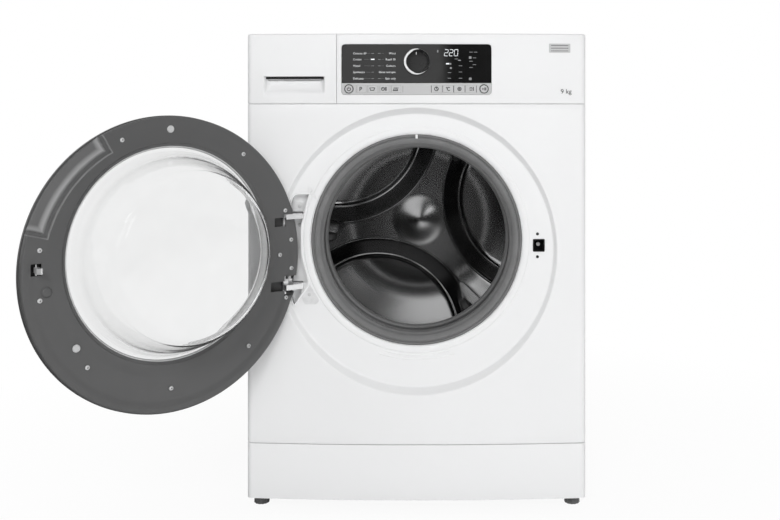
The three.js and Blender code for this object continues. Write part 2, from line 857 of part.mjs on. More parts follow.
// ---- Drum and drive ------------------------------------------------------
const drumFront = tubFront + drumFrontClearance;
const drumBack = tubBack - drumBackClearance;
const petalCount = 3;

function petals(grow, y0, y1) {
  const discs = [];
  for (let i = 0; i < petalCount; i++) {
    const angle = THREE.MathUtils.degToRad(petalTurn + (360 / petalCount) * i);
    const x = petalOffset * Math.cos(angle);
    const z = portholeZ + petalOffset * Math.sin(angle);
    discs.push(cylinderY(petalRadius + grow, y0, y1, x, z, coarseSteps));
  }
  return union(discs).intersect(cylinderY(drumRadius - 14 + grow, y0, y1, 0, portholeZ, fineSteps));
}

function drum() {
  const inner = drumRadius - drumSheet;
  const profile = [
    [drumMouthRadius, drumFront],
    [drumRadius, drumFront],
    [drumRadius, drumBack + drumSheet],
    [domeRadius, drumBack + drumSheet],
    [domeRadius * 0.6, drumBack - domeRise * 0.75 + drumSheet],
    [0, drumBack - domeRise + drumSheet],
    [0, drumBack - domeRise],
    [domeRadius * 0.6, drumBack - domeRise * 0.75],
    [domeRadius, drumBack],
    [inner, drumBack],
    [inner, drumFront + drumSheet],
    [drumMouthRadius, drumFront + drumSheet],
  ];
  return turned(profile, 0, portholeZ, fineSteps)
    .add(petals(drumSheet, drumBack, drumBack + petalDepth + drumSheet))
    .subtract(petals(0, drumBack - 1, drumBack + petalDepth));
}

function lifter(index) {
  const seat = drumRadius - drumSheet - gap;
  const section = (inset) => {
    const half = lifterBase / 2 - inset;
    const tip = lifterTop / 2 - inset;
    const outline = new THREE.Shape();
    outline.moveTo(-half, seat + 1);
    outline.lineTo(-tip, lifterRadius + lifterTop / 2);
    outline.absarc(0, lifterRadius + lifterTop / 2, tip, -Math.PI, 0);
    outline.lineTo(half, seat + 1);
    return outline;
  };
  const y0 = drumFront + lifterFrontMargin;
  const y1 = drumBack - lifterBackMargin;
  const angle = lifterTurn + (360 / petalCount) * index;
  return plateY(section(0), y0, y1)
    .subtract(plateY(section(lifterWall), y0 + lifterWall, y1 - lifterWall))
    .rotate([0, 90 - angle, 0])
    .translate([0, 0, portholeZ])
    .intersect(cylinderY(seat, y0 - 1, y1 + 1, 0, portholeZ, fineSteps));
}

const spiderFront = drumBack + drumSheet + gap;

function drumSpider() {
  const spiderBack = spiderFront + petalDepth + spiderThickness;
  const arms = [];
  for (let i = 0; i < petalCount; i++) {
    const angle = petalTurn + (360 / petalCount) * (i + 0.5);
    const length = drumRadius - 4;
    arms.push(box(0, length, spiderFront, spiderBack, -16, 16).rotate([0, -angle, 0]));
  }
  const profile = [
    [0, spiderFront],
    [hubRadius, spiderFront],
    [hubRadius, spiderBack],
    [frontShaftRadius, spiderBack],
    [frontShaftRadius, bearingFrontY + bearingWidth],
    [rearShaftRadius, bearingFrontY + bearingWidth],
    [rearShaftRadius, tubBack + shaftReach],
    [0, tubBack + shaftReach],
  ];
  const petalRoom = petals(drumSheet + gap, drumBack, spiderFront + petalDepth);
  return union(arms)
    .translate([0, 0, portholeZ])
    .add(turned(profile, 0, portholeZ, coarseSteps))
    .subtract(petalRoom);
}

function bearing(outer, bore, y0) {
  const profile = [
    [bore, y0],
    [outer, y0],
    [outer, y0 + bearingWidth],
    [bore, y0 + bearingWidth],
  ];
  return turned(profile, 0, portholeZ, coarseSteps);
}

const pulleyFront = tubBack + hubLength + 4;
const beltFront = pulleyFront + (pulleyWidth - beltWidth) / 2;
const trayTop = plinthClearance + trayWallHeight;
const motorReach = tubRadius + motorRadius + motorClearance; // from the porthole's axis
const motorDrop = Math.min(
  motorReach * Math.cos(THREE.MathUtils.degToRad(motorTurn)),
  portholeZ - trayTop - motorGround - motorRadius,
);
const motorX = Math.sqrt(motorReach ** 2 - motorDrop ** 2);
const motorZ = portholeZ - motorDrop;

function drumPulley() {
  const back = pulleyFront + pulleyWidth;
  const middle = pulleyFront + pulleyWidth / 2;
  const profile = [
    [rearShaftRadius + gap, pulleyFront],
    [26, pulleyFront],
    [26, middle - 3],
    [pulleyRadius - 10, middle - 3],
    [pulleyRadius, pulleyFront],
    [pulleyRadius, back],
    [26, back],
    [rearShaftRadius + gap, back],
  ];
  return turned(profile, 0, portholeZ, coarseSteps);
}

function beltLoop(grow, y0, y1) {
  const outline = new THREE.Shape();
  const dx = motorX;
  const dz = motorZ - portholeZ;
  const distance = Math.hypot(dx, dz);
  const toMotor = Math.atan2(dz, dx);
  const big = pulleyRadius + grow;
  const small = motorPulleyRadius + grow;
  const lean = Math.acos((big - small) / distance);
  const steps = 28;
  const points = [];
  const arc = (x, z, radius, from, to, count) => {
    for (let i = 0; i <= count; i++) {
      const angle = from + ((to - from) * i) / count;
      points.push(new THREE.Vector2(x + radius * Math.cos(angle), z + radius * Math.sin(angle)));
    }
  };
  arc(0, portholeZ, big, toMotor + lean, toMotor + 2 * Math.PI - lean, steps);
  arc(motorX, motorZ, small, toMotor - lean, toMotor + lean, steps / 4);
  outline.setFromPoints(points);
  return plateY(outline, y0, y1);
}

function driveBelt() {
  const seat = 3 * gap;
  return beltLoop(seat + beltThickness, beltFront, beltFront + beltWidth).subtract(
    beltLoop(seat, beltFront - 1, beltFront + beltWidth + 1),
  );
}

const motorBack = pulleyFront - 8;
const motorFront = motorBack - motorLength;
const motorShaftRadius = 8;

function motor() {
  const profile = [
    [0, motorFront],
    [motorRadius - 10, motorFront],
    [motorRadius, motorFront + 10],
    [motorRadius, motorBack - 10],
    [motorRadius - 10, motorBack],
    [motorShaftRadius, motorBack],
    [motorShaftRadius, pulleyFront + pulleyWidth],
    [0, pulleyFront + pulleyWidth],
  ];
  return turned(profile, motorX, motorZ, 24);
}

function motorPulley() {
  const profile = [
    [motorShaftRadius + gap, pulleyFront],
    [motorPulleyRadius, pulleyFront],
    [motorPulleyRadius, pulleyFront + pulleyWidth],
    [motorShaftRadius + gap, pulleyFront + pulleyWidth],
  ];
  return turned(profile, motorX, motorZ, 24);
}

// ---- Suspension and weights ----------------------------------------------
const springY = housingFront + housingLength + springSetback;
const springEarTop = portholeZ + tubRadius * Math.sin(THREE.MathUtils.degToRad(springEarTurn));

function suspensionSpring(side) {
  const top = springAnchorZ - gap;
  const bottom = springEarTop + gap;
  const hook = 14;
  const x = side * springX;
  const y = springY;
  const coilBottom = bottom + hook;
  const coilTop = top - hook;
  const stepsPerTurn = 6;
  const steps = springTurns * stepsPerTurn;
  const points = [new THREE.Vector3(x + springCoilRadius, y, bottom)];
  for (let i = 0; i <= steps; i++) {
    const angle = (i / stepsPerTurn) * 2 * Math.PI;
    const z = coilBottom + ((coilTop - coilBottom) * i) / steps;
    points.push(
      new THREE.Vector3(x + springCoilRadius * Math.cos(angle), y + springCoilRadius * Math.sin(angle), z),
    );
  }
  points.push(new THREE.Vector3(x + springCoilRadius, y, top));
  const sides = 5;
  const section = [];
  for (let i = 0; i < sides; i++) {
    const angle = (2 * Math.PI * i) / sides;
    section.push(new THREE.Vector2(springWire * Math.cos(angle), springWire * Math.sin(angle)));
  }
  const geometry = new THREE.ExtrudeGeometry(new THREE.Shape(section), {
    steps: steps + 2,
    extrudePath: new THREE.CatmullRomCurve3(points, false, "centripetal"),
  });
  return solidOf(geometry);
}

function damper(side) {
  const foot = new THREE.Vector3(side * damperFootX, front + damperY, plinthClearance);
  const turn = THREE.MathUtils.degToRad(damperTopTurn);
  const reach = tubRadius - damperTopDepth;
  const topX = side * reach * Math.cos(turn);
  const top = new THREE.Vector3(topX, front + damperY, portholeZ - reach * Math.sin(turn));
  const length = foot.distanceTo(top);
  const tube = length * 0.55;
  const profile = [
    [0, 0],
    [damperRadius, 0],
    [damperRadius, tube],
    [damperRodRadius, tube],
    [damperRodRadius, length],
    [0, length],
  ];
  const lean = THREE.MathUtils.radToDeg(Math.atan2(top.x - foot.x, top.z - foot.z));
  const floor = plinthClearance + trayWall + gap;
  return turned(profile, 0, 0, 16)
    .rotate([90, 0, 0])
    .rotate([0, lean, 0])
    .translate([foot.x, foot.y, foot.z])
    .subtract(box(-halfWidth, halfWidth, front, rear, -halfWidth, floor))
    .subtract(cylinderY(tubRadius + gap, front, rear, 0, portholeZ, coarseSteps));
}

function upperCounterweight() {
  const y0 = tubSplit - 8 - gap - weightLength;
  const top = worktopBottom - weightTopGap;
  const x0 = weightX - weightWidth / 2;
  const x1 = weightX + weightWidth / 2;
  return box(x0, x1, y0, y0 + weightLength, portholeZ + weightRise, top).subtract(
    cylinderY(tubRadius + gap, front, rear, 0, portholeZ, fineSteps),
  );
}

function frontCounterweight() {
  const back = tubFront - gap;
  const y0 = back - frontWeightThickness;
  const half = THREE.MathUtils.degToRad(frontWeightAngle / 2);
  const outer = tubRadius - frontWeightMargin;
  const inner = tubNeckRadius + tubWall + frontWeightClearance;
  const outline = new THREE.Shape();
  outline.absarc(0, portholeZ, outer, -Math.PI / 2 - half, -Math.PI / 2 + half, false);
  outline.absarc(0, portholeZ, inner, -Math.PI / 2 + half, -Math.PI / 2 - half, true);
  const geometry = new THREE.ExtrudeGeometry(outline, {
    depth: frontWeightThickness,
    bevelEnabled: false,
    curveSegments: 12,
  });
  geometry.rotateX(Math.PI / 2);
  geometry.translate(0, y0 + frontWeightThickness, 0);
  const pocketBack = dishFloorY + pocketDepth + frontSheet + gap;
  return solidOf(geometry).subtract(pocketSolid(frontSheet + gap, dishFloorY, pocketBack));
}

function drainPump() {
  const z = plinthClearance + trayWall + gap + pumpRadius + 4;
  const y0 = casingFront + trayWall + 20;
  const body = cylinderY(pumpRadius, y0, y0 + pumpLength, pumpX, z, 32);
  const bed = z - pumpRadius - 4;
  const feet = box(pumpX - 26, pumpX + 26, y0 + 10, y0 + pumpLength - 10, bed, z - 14);
  return body.add(feet).add(cylinderY(12, y0 + pumpLength - 1, y0 + pumpLength + 40, pumpX, z, 20));
}

// ---- Door lock in the cabinet --------------------------------------------
function doorLock() {
  const y0 = dishFloorY + frontSheet + gap;
  const y1 = y0 + lockDepth;
  const x0 = portholeRadius + lockClearance;
  return box(x0, latchX + 19, y0, y1, latchZ - 48, latchZ + 42).subtract(
    latchSlot(y0 - 1, y1 - 4),
  );
}

// ---- Door, drawn closed in the cabinet's place ---------------------------
const earTop = hingeEarHeight / 2;
const knuckleOffset = hingeSpread - hingeEarHeight / 2 - gap - knuckleHeight / 2;
const notchLow = knuckleOffset - knuckleHeight / 2 - 1;
const notchHigh = hingeSpread + hingeEarHeight / 2 + 4;
const pinReach = hingeSpread + hingeEarHeight / 2 + 3;

function hingeBracket() {
  const back = dishFloorY + pocketDepth - gap;
  const plateFront = back - 2.5;
  const z0 = dishZ + pocketShift - pocketHeight / 2 + 5;
  const z1 = dishZ + pocketShift + pocketHeight / 2 - 13;
  const x = hingeAxisX;
  const inner = -portholeRadius - pocketRimWidth - 1;
  const plate = new THREE.Shape();
  plate.moveTo(x + 6, z1);
  plate.lineTo(inner + 4, z1);
  plate.lineTo(inner, dishZ + 40);
  plate.lineTo(inner, dishZ - 50);
  plate.lineTo(inner + 22, z0);
  plate.lineTo(x + 14, z0);
  plate.lineTo(x + 8, dishZ - 50);
  plate.lineTo(x + 6, dishZ + 40);
  const ears = [-1, 1].map((side) => {
    const z = dishZ + side * hingeSpread;
    const outline = new THREE.Shape();
    outline.absarc(x, hingeAxisY, hingeEarRadius, Math.PI * 0.95, Math.PI * 1.9);
    outline.lineTo(inner - 4, hingeAxisY + 22);
    outline.lineTo(inner - 1, plateFront + 1);
    outline.lineTo(x + 8, plateFront + 1);
    outline.lineTo(x + 5, hingeAxisY + 26);
    return prismZ(outline, z - earTop, z + earTop);
  });
  return plateY(plate, plateFront, back)
    .add(union(ears))
    .subtract(cylinderZ(pinRadius + gap, dishZ - 99, dishZ + 99, x, hingeAxisY, 16));
}

function hingePin() {
  return cylinderZ(pinRadius, dishZ - pinReach, dishZ + pinReach, hingeAxisX, hingeAxisY, 16);
}

function hingeArm() {
  const plateBack = doorFaceY - doorWall - gap;
  const plateFront = plateBack - 2.6;
  const x = hingeAxisX;
  const inner = -glassFlangeRadius - 3;
  const plate = box(x + 8, inner, plateFront, plateBack, dishZ - notchHigh - 5, dishZ + notchHigh + 5);
  const earRoom = [-1, 1].map((side) => {
    const z = dishZ + side * hingeSpread;
    return box(x - 20, x + 14, plateFront - 9, plateBack + 9, z - earTop - gap, z + earTop + gap);
  });
  const knuckles = [-1, 1].map((side) => {
    const z = dishZ + side * knuckleOffset;
    const z0 = z - knuckleHeight / 2;
    const link = box(x, x + 12, plateFront, plateBack, z0, z0 + knuckleHeight);
    return cylinderZ(knuckleRadius, z0, z0 + knuckleHeight, x, hingeAxisY, 20).add(link);
  });
  return plate
    .add(union(knuckles))
    .subtract(union(earRoom))
    .subtract(cylinderZ(pinRadius + gap, dishZ - 99, dishZ + 99, x, hingeAxisY, 16));
}

// Room round the hinge that the closed-pose door mouldings leave for ears, knuckles and pin.
function hingeNotches() {
  const x = hingeAxisX;
  const notches = [-1, 1].map((side) => {
    const z0 = dishZ + side * notchLow;
    const z1 = dishZ + side * notchHigh;
    const low = Math.min(z0, z1);
    const high = Math.max(z0, z1);
    const through = box(x - 40, x + hingeEarRadius + 1, front - 60, rear, low, high);
    return through.add(box(x - 40, x + 30, doorFaceY - doorWall - 0.05, rear, low, high));
  });
  const reach = pinReach + 1;
  return union(notches).add(
    cylinderZ(pinRadius + 1, dishZ - reach, dishZ + reach, x, hingeAxisY, 16),
  );
}

// The space that the open door may fill: a slope clears the front panel, and only the middle
// beside the hinge may be thicker than that slope, where the pocket takes it.
function hingeRelief(grow) {
  const lean = THREE.MathUtils.degToRad(180 - doorOpenAngle);
  const slope = Math.tan(lean);
  const slopeY = (x) => hingeAxisY + openClearance / Math.cos(lean) + grow - slope * (x - hingeAxisX);
  const flat = doorFaceY - hingeSideDepth + grow;
  const kneeX = hingeAxisX + (slopeY(hingeAxisX) - flat) / slope;
  const far = cabinetWidth;
  const half = hingeSpread + hingeEarHeight / 2 + 5;
  const sloped = new THREE.Shape();
  sloped.moveTo(-far, slopeY(-far));
  sloped.lineTo(far, slopeY(far));
  sloped.lineTo(far, far);
  sloped.lineTo(-far, far);
  const pocketSide = box(-far, kneeX, flat, far, dishZ - half, dishZ + half);
  return prismZ(sloped, 0, cabinetHeight).add(pocketSide);
}

const rimSeamDepth = 10;

// The finger grip's sector of the ring: its inner edge runs round the window's centre.
function gripSector(inner, outer, y0, y1, widen) {
  const from = THREE.MathUtils.degToRad(gripFrom - widen);
  const to = THREE.MathUtils.degToRad(gripTo + widen);
  const steps = 8;
  const arc = [];
  for (let i = 0; i <= steps; i++) {
    const angle = from + ((to - from) * i) / steps;
    arc.push(new THREE.Vector2(outer * Math.cos(angle), dishZ + outer * Math.sin(angle)));
  }
  const start = new THREE.Vector2(outer * 0.5 * Math.cos(from), dishZ + outer * 0.5 * Math.sin(from));
  const end = new THREE.Vector2(outer * 0.5 * Math.cos(to), dishZ + outer * 0.5 * Math.sin(to));
  const outline = new THREE.Shape([start, ...arc, end]);
  return plateY(outline, y0, y1).subtract(cylinderY(inner, y0 - 1, y1 + 1, 0, portholeZ, fineSteps));
}

function doorInnerRing() {
  const face = doorFaceY;
  const rimFront = face - rimSeamDepth;
  const windowRing = cylinderY(doorWindowRadius, face - 99, face + 99, 0, portholeZ, fineSteps);
  const rim = turned(
    [
      [0, rimFront],
      [doorRingRadius - 2.5, rimFront],
      [doorRingRadius - 2.5, face - doorWall],
      [doorRingRadius, face - doorWall],
      [doorRingRadius, face],
      [0, face],
    ],
    0,
    dishZ,
    fineSteps,
  );
  const hollow = cylinderY(doorRingRadius - 2 * 2.5, rimFront - 1, face - doorWall, 0, dishZ, fineSteps);
  const gripFloor = face - gripDepth;
  const gripOuter = doorRingRadius - 2.5;
  const gripInner = doorWindowRadius + gripMargin;
  const gripBox = gripSector(gripInner - 2.5, gripOuter, gripFloor - 2.5, face - 1, 0.7);
  const gripCut = gripSector(gripInner, doorRingRadius + 9, gripFloor, face + 1, 0);
  const latchHalfW = latchWindowWidth / 2;
  const latchHalfH = latchWindowHeight / 2;
  const latchWindow = box(
    latchX - latchHalfW,
    latchX + latchHalfW,
    face - 30,
    face + 9,
    latchZ - latchHalfH,
    latchZ + latchHalfH,
  );
  return rim
    .subtract(hollow)
    .add(gripBox)
    .subtract(windowRing)
    .subtract(gripCut)
    .subtract(latchWindow)
    .subtract(hingeNotches())
    .intersect(hingeRelief(3.3));
}

function doorOuterShell() {
  const face = doorFaceY;
  const seat = face - rimSeamDepth - gap;
  const rimFront = face - doorRimDepth;
  const lip = doorWindowRadius + 24;
  const outer = turned(
    [
      [0, seat],
      [doorShellRadius, seat],
      [doorShellRadius, rimFront + 5],
      [doorShellRadius - 5, rimFront],
      [lip, rimFront - 3],
      [0, rimFront - 3],
    ],
    0,
    dishZ,
    fineSteps,
  ).intersect(hingeRelief(0));
  const inner = turned(
    [
      [0, seat + 1],
      [doorShellRadius - doorWall, seat + 1],
      [doorShellRadius - doorWall, rimFront + 5],
      [doorShellRadius - 7, rimFront + doorWall],
      [0, rimFront + doorWall - 3],
    ],
    0,
    dishZ,
    fineSteps,
  ).intersect(hingeRelief(2.5));
  const innerWall = turned(
    [
      [lip, seat + 2],
      [lip + doorWall, seat + 2],
      [lip + doorWall, rimFront + 1],
      [lip, rimFront + 1],
    ],
    0,
    portholeZ,
    fineSteps,
  ).intersect(hingeRelief(1));
  const opening = cylinderY(lip, face - 99, face + 99, 0, portholeZ, fineSteps);
  const gripRoom = gripSector(
    doorWindowRadius + gripMargin - 3,
    doorShellRadius - doorWall,
    face - gripDepth - 3,
    face,
    1.4,
  );
  return outer
    .subtract(inner)
    .add(innerWall.intersect(outer))
    .subtract(opening)
    .subtract(gripRoom)
    .subtract(hingeNotches());
}

function doorGlass() {
  const face = doorFaceY;
  const flangeBack = face - doorWall - gap;
  const flange = glassFlangeRadius;
  const lip = doorWindowRadius - 1;
  const end = face + bowlDepth;
  const bowlEndRadius = doorWindowRadius - bowlTaper;
  const outer = [
    [flange, flangeBack],
    [lip, flangeBack],
    [lip - 12, face + 14],
    [lip - 16, face + 34],
    [lip - 36, end - bowlShoulder],
    [bowlEndRadius, end - 3],
    [0, end],
  ];
  const inner = [
    [0, end - glassWall],
    [bowlEndRadius - 2, end - 3 - glassWall],
    [lip - 40, end - bowlShoulder - 2],
    [lip - 20, face + 33],
    [lip - 16, face + 13],
    [lip - 5, flangeBack - glassWall],
    [flange, flangeBack - glassWall],
  ];
  return turned([...outer, ...inner], 0, portholeZ, fineSteps);
}

function doorWindow() {
  const edge = doorWindowRadius + 23.4;
  const rimFront = doorFaceY - doorRimDepth + 2;
  const rise = doorDomeDepth - doorRimDepth;
  const dome = [
    [edge, rimFront],
    [edge - 8, rimFront - rise * 0.35],
    [edge - 24, rimFront - rise * 0.72],
    [edge - 60, rimFront - rise * 0.92],
    [0, rimFront - rise],
  ];
  const inside = dome.map(([r, y]) => [Math.max(r - (r > 0 ? 2.4 : 0), 0), y + 2.6]).reverse();
  return turned([...dome, ...inside], 0, portholeZ, fineSteps).intersect(hingeRelief(0.2));
}

function latchHook() {
  const back = doorFaceY - doorWall - 3;
  const tip = doorFaceY + latchReach;
  const outline = new THREE.Shape();
  outline.moveTo(latchX - 5, back);
  outline.lineTo(latchX + 5, back);
  outline.lineTo(latchX + 5, doorFaceY + 6);
  outline.lineTo(latchX, doorFaceY + 6);
  outline.lineTo(latchX, doorFaceY + 11);
  outline.lineTo(latchX + 5, doorFaceY + 11);
  outline.lineTo(latchX + 4, tip - 3);
  outline.lineTo(latchX - 1, tip);
  outline.lineTo(latchX - 5, tip - 2);
  const pinHalf = latchWindowHeight / 2 - gap;
  const pinY = doorFaceY - doorWall / 2;
  return prismZ(outline, latchZ - 5, latchZ + 5).add(
    cylinderZ(latchPinRadius, latchZ - pinHalf, latchZ + pinHalf, latchX, pinY),
  );
}

// ---- Assembly ------------------------------------------------------------
const paint = { color: 0xf0f1f2, roughness: 0.35, metalness: 0 };
const whitePlastic = { color: 0xeceded, roughness: 0.4, metalness: 0 };
const greyPlastic = { color: 0x5b5c5e, roughness: 0.5, metalness: 0 };
const darkPlastic = { color: 0x2b2c2e, roughness: 0.4, metalness: 0 };
const silver = { color: 0xc8c9ca, roughness: 0.3, metalness: 0.6 };
const glossBlack = { color: 0x101113, roughness: 0.1, metalness: 0 };
const rubber = { color: 0x77797b, roughness: 0.6, metalness: 0 };
const stainless = { color: 0x9a9b9c, roughness: 0.25, metalness: 1 };
const zinc = { color: 0xb5b7b8, roughness: 0.4, metalness: 1 };
const clearGlass = { color: 0xdfe6e8, roughness: 0.05, metalness: 0 };
const concrete = { color: 0x8f8d88, roughness: 0.9, metalness: 0 };
const boardGreen = { color: 0x2d5a3a, roughness: 0.5, metalness: 0 };
const tubPlastic = { color: 0xb9babb, roughness: 0.6, metalness: 0 };

const machine = new THREE.Group();

function addMesh(parent, name, solid, finish) {
  const mesh = solid.getMesh();
  const geometry = new THREE.BufferGeometry();
  geometry.setAttribute("position", new THREE.BufferAttribute(mesh.vertProperties, 3));
  geometry.setIndex(new THREE.BufferAttribute(mesh.triVerts, 1));
  geometry.computeVertexNormals();
  const part = new THREE.Mesh(geometry, new THREE.MeshStandardMaterial(finish));
  part.name = name;
  parent.add(part);
}

function addCasing() {
  addMesh(machine, "left_side_panel", sidePanel(-1), paint);
  addMesh(machine, "right_side_panel", sidePanel(1), paint);
  addMesh(machine, "rear_panel", rearPanel(), paint);
  addMesh(machine, "worktop", worktop(), whitePlastic);
  addMesh(machine, "base_tray", baseTray(), tubPlastic);
  addMesh(machine, "front_panel", frontPanel(), paint);
  addMesh(machine, "kick_plate", kickPlate(), whitePlastic);
  addMesh(machine, "inlet_valve", inletValve(), whitePlastic);
  const names = ["foot_front_left", "foot_front_right", "foot_rear_left", "foot_rear_right"];
  footPlaces().forEach(([x, y], i) => addMesh(machine, names[i], foot(x, y), darkPlastic));
}

function addConsole() {
  addMesh(machine, "console_fascia", consoleFascia(), whitePlastic);
  addMesh(machine, "display_window", displayWindow(), glossBlack);
  addMesh(machine, "key_strip", keyStrip(), silver);
  addMesh(machine, "control_board", controlBoard(), boardGreen);
  addMesh(machine, "program_knob", programKnob(), glossBlack);
  addMesh(machine, "power_key", roundKey(-startKeyX), silver);
  addMesh(machine, "start_key", roundKey(startKeyX), silver);
  [...leftKeyX, ...rightKeyX].forEach((x, i) => {
    addMesh(machine, `option_key_${i + 1}`, barKey(x), silver);
  });
}

function addDispenser() {
  addMesh(machine, "drawer_front", drawerFront(), whitePlastic);
  addMesh(machine, "dispenser_drawer", dispenserDrawer(), whitePlastic);
  addMesh(machine, "dispenser_housing", dispenserHousing(), tubPlastic);
}

function addTubGroup() {
  addMesh(machine, "tub_front", tubFrontHalf(), tubPlastic);
  addMesh(machine, "tub_rear", tubRearHalf(), tubPlastic);
  addMesh(machine, "door_gasket", doorGasket(), rubber);
  addMesh(machine, "upper_counterweight", upperCounterweight(), concrete);
  addMesh(machine, "front_counterweight", frontCounterweight(), concrete);
  addMesh(machine, "suspension_spring_left", suspensionSpring(-1), zinc);
  addMesh(machine, "suspension_spring_right", suspensionSpring(1), zinc);
  addMesh(machine, "damper_left", damper(-1), darkPlastic);
  addMesh(machine, "damper_right", damper(1), darkPlastic);
  addMesh(machine, "drain_pump", drainPump(), darkPlastic);
  addMesh(machine, "bearing_front", bearing(frontBearingRadius, frontShaftRadius + gap, bearingFrontY), zinc);
  addMesh(machine, "bearing_rear", bearing(rearBearingRadius, rearShaftRadius + gap, bearingRearY), zinc);
}

function addDrive() {
  addMesh(machine, "drum", drum(), stainless);
  for (let i = 0; i < petalCount; i++) addMesh(machine, `lifter_${i + 1}`, lifter(i), greyPlastic);
  addMesh(machine, "drum_spider", drumSpider(), zinc);
  addMesh(machine, "drum_pulley", drumPulley(), zinc);
  addMesh(machine, "drive_belt", driveBelt(), darkPlastic);
  addMesh(machine, "motor", motor(), zinc);
  addMesh(machine, "motor_pulley", motorPulley(), zinc);
}

function addDoor() {
  addMesh(machine, "hinge_bracket", hingeBracket(), zinc);
  addMesh(machine, "hinge_pin", hingePin(), zinc);
  addMesh(machine, "door_lock", doorLock(), darkPlastic);
  const door = new THREE.Group();
  door.position.set(hingeAxisX, hingeAxisY, 0);
  door.rotation.z = THREE.MathUtils.degToRad(-doorOpenAngle);
  machine.add(door);
  const closed = new THREE.Group();
  closed.position.set(-hingeAxisX, -hingeAxisY, 0);
  door.add(closed);
  addMesh(closed, "hinge_arm", hingeArm(), zinc);
  addMesh(closed, "door_inner_ring", doorInnerRing(), greyPlastic);
  addMesh(closed, "door_outer_shell", doorOuterShell(), greyPlastic);
  addMesh(closed, "door_glass", doorGlass(), clearGlass);
  addMesh(closed, "door_window", doorWindow(), clearGlass);
  addMesh(closed, "latch_hook", latchHook(), zinc);
}

addCasing();
addConsole();
addDispenser();
addTubGroup();
addDrive();
addDoor();

export default machine;
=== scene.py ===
# Dressed model of a front load washing machine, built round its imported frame.
# Shapes are worked out in millimetres in the frame's own axes and scaled to metres at the end.
from math import (atan2, copysign, cos, degrees, hypot, pi, radians, sin, sqrt, tau)

import bmesh
import bpy
from mathutils import Matrix, Vector


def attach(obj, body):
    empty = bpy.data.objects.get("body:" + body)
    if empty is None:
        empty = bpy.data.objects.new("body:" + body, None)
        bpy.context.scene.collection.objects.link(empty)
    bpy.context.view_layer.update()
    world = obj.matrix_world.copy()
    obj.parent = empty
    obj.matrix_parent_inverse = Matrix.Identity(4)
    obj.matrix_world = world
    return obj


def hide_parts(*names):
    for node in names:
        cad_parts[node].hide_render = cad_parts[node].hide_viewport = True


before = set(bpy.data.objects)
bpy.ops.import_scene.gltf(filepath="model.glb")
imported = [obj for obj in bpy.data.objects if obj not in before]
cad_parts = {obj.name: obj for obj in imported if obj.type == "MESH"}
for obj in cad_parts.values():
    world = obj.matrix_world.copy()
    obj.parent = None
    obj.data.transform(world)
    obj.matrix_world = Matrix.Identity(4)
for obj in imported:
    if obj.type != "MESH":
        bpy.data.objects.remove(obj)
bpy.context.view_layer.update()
scene = bpy.context.scene

MM = 0.001
FRONT = -300  # plane of the front's side edges
BOW = 11
BOW_HALF = 290
BOW_RADIUS = (BOW_HALF**2 + BOW**2) / (2 * BOW)
CORNER = 10
RETURN_BACK = -278
PORTHOLE_Z = 480
DISH_Z = 461
DISH_FLOOR = -294
DISH_RADIUS = 243
PORTHOLE_RADIUS = 188
COLLAR_RADIUS = 203
PLATE_RADIUS = 206  # edge of the back panel's sunken round
PANEL_LOW, PANEL_HIGH = 121.4, 720.75
CONSOLE_LOW = 721.25
DRUM_BACK = 72
DRUM_INSIDE, LIFTER_CREST = 248.6, 152.6
DOOR_Z = 459
WINDOW_Z = 477
HINGE = Vector((-225, -304, 461))
DOOR_TURN = radians(-140)
DOOR_FACE = -296.5
GRIP_START, GRIP_END, GRIP_RADIUS = 14.8, 61.2, 206  # the finger grip, in degrees and mm


# ---- Shape helpers ---------------------------------------------------------
def bow(x):
    """Depth of the bowed front at a place across its width."""
    x = max(-BOW_HALF, min(BOW_HALF, x))
    return FRONT - BOW + BOW_RADIUS - sqrt(BOW_RADIUS**2 - x * x)


def ease(value, low, high):
    """Smooth step from 0 at low to 1 at high."""
    t = max(0, min(1, (value - low) / (high - low)))
    return t * t * (3 - 2 * t)


def soften(profile, radius, closed=True, steps=4):
    """Rounds the corners of a line of points in its plane."""
    points = [Vector(p) for p in profile]
    rounded = []
    count = len(points)
    for i, here in enumerate(points):
        if not closed and i in (0, count - 1):
            rounded.append(here)
            continue
        before, after = points[i - 1] - here, points[(i + 1) % count] - here
        reach = min(radius, before.length * 0.45, after.length * 0.45)
        start, end = here + before.normalized() * reach, here + after.normalized() * reach
        for t in (j / steps for j in range(steps + 1)):
            rounded.append(start * (1 - t) ** 2 + here * 2 * t * (1 - t) + end * t * t)
    return rounded


def outward(bm):
    """Turns the faces of a closed shape outwards."""
    bmesh.ops.recalc_face_normals(bm, faces=bm.faces)


def spun(profile, x, z, steps):
    """Turns points of (radius, depth) about the line along Y through (x, z)."""
    bm = bmesh.new()
    on_axis = profile[0][0] == 0 and profile[-1][0] == 0
    start_chain(bm, [(x + p[0], p[1], z) for p in profile], not on_axis)
    bmesh.ops.spin(bm, geom=bm.verts[:] + bm.edges[:], cent=(x, 0, z), axis=(0, 1, 0),
                   angle=tau, steps=steps, use_merge=True)
    bmesh.ops.remove_doubles(bm, verts=bm.verts, dist=1e-4)
    outward(bm)
    return bm


def swept(section, x, z, start, sweep, steps, closed):
    """Turns points of (radius, depth) some degrees of the way round (x, z)."""
    bm = bmesh.new()
    turn = Matrix.Rotation(-radians(start), 3, "Y")
    points = [turn @ Vector((p[0], 0, 0)) for p in section]
    start_chain(bm, [(x + q.x, p[1], z + q.z) for p, q in zip(section, points)], closed)
    bmesh.ops.spin(bm, geom=bm.verts[:] + bm.edges[:], cent=(x, 0, z), axis=(0, 1, 0),
                   angle=-radians(sweep), steps=steps, use_merge=sweep >= 360)
    return bm


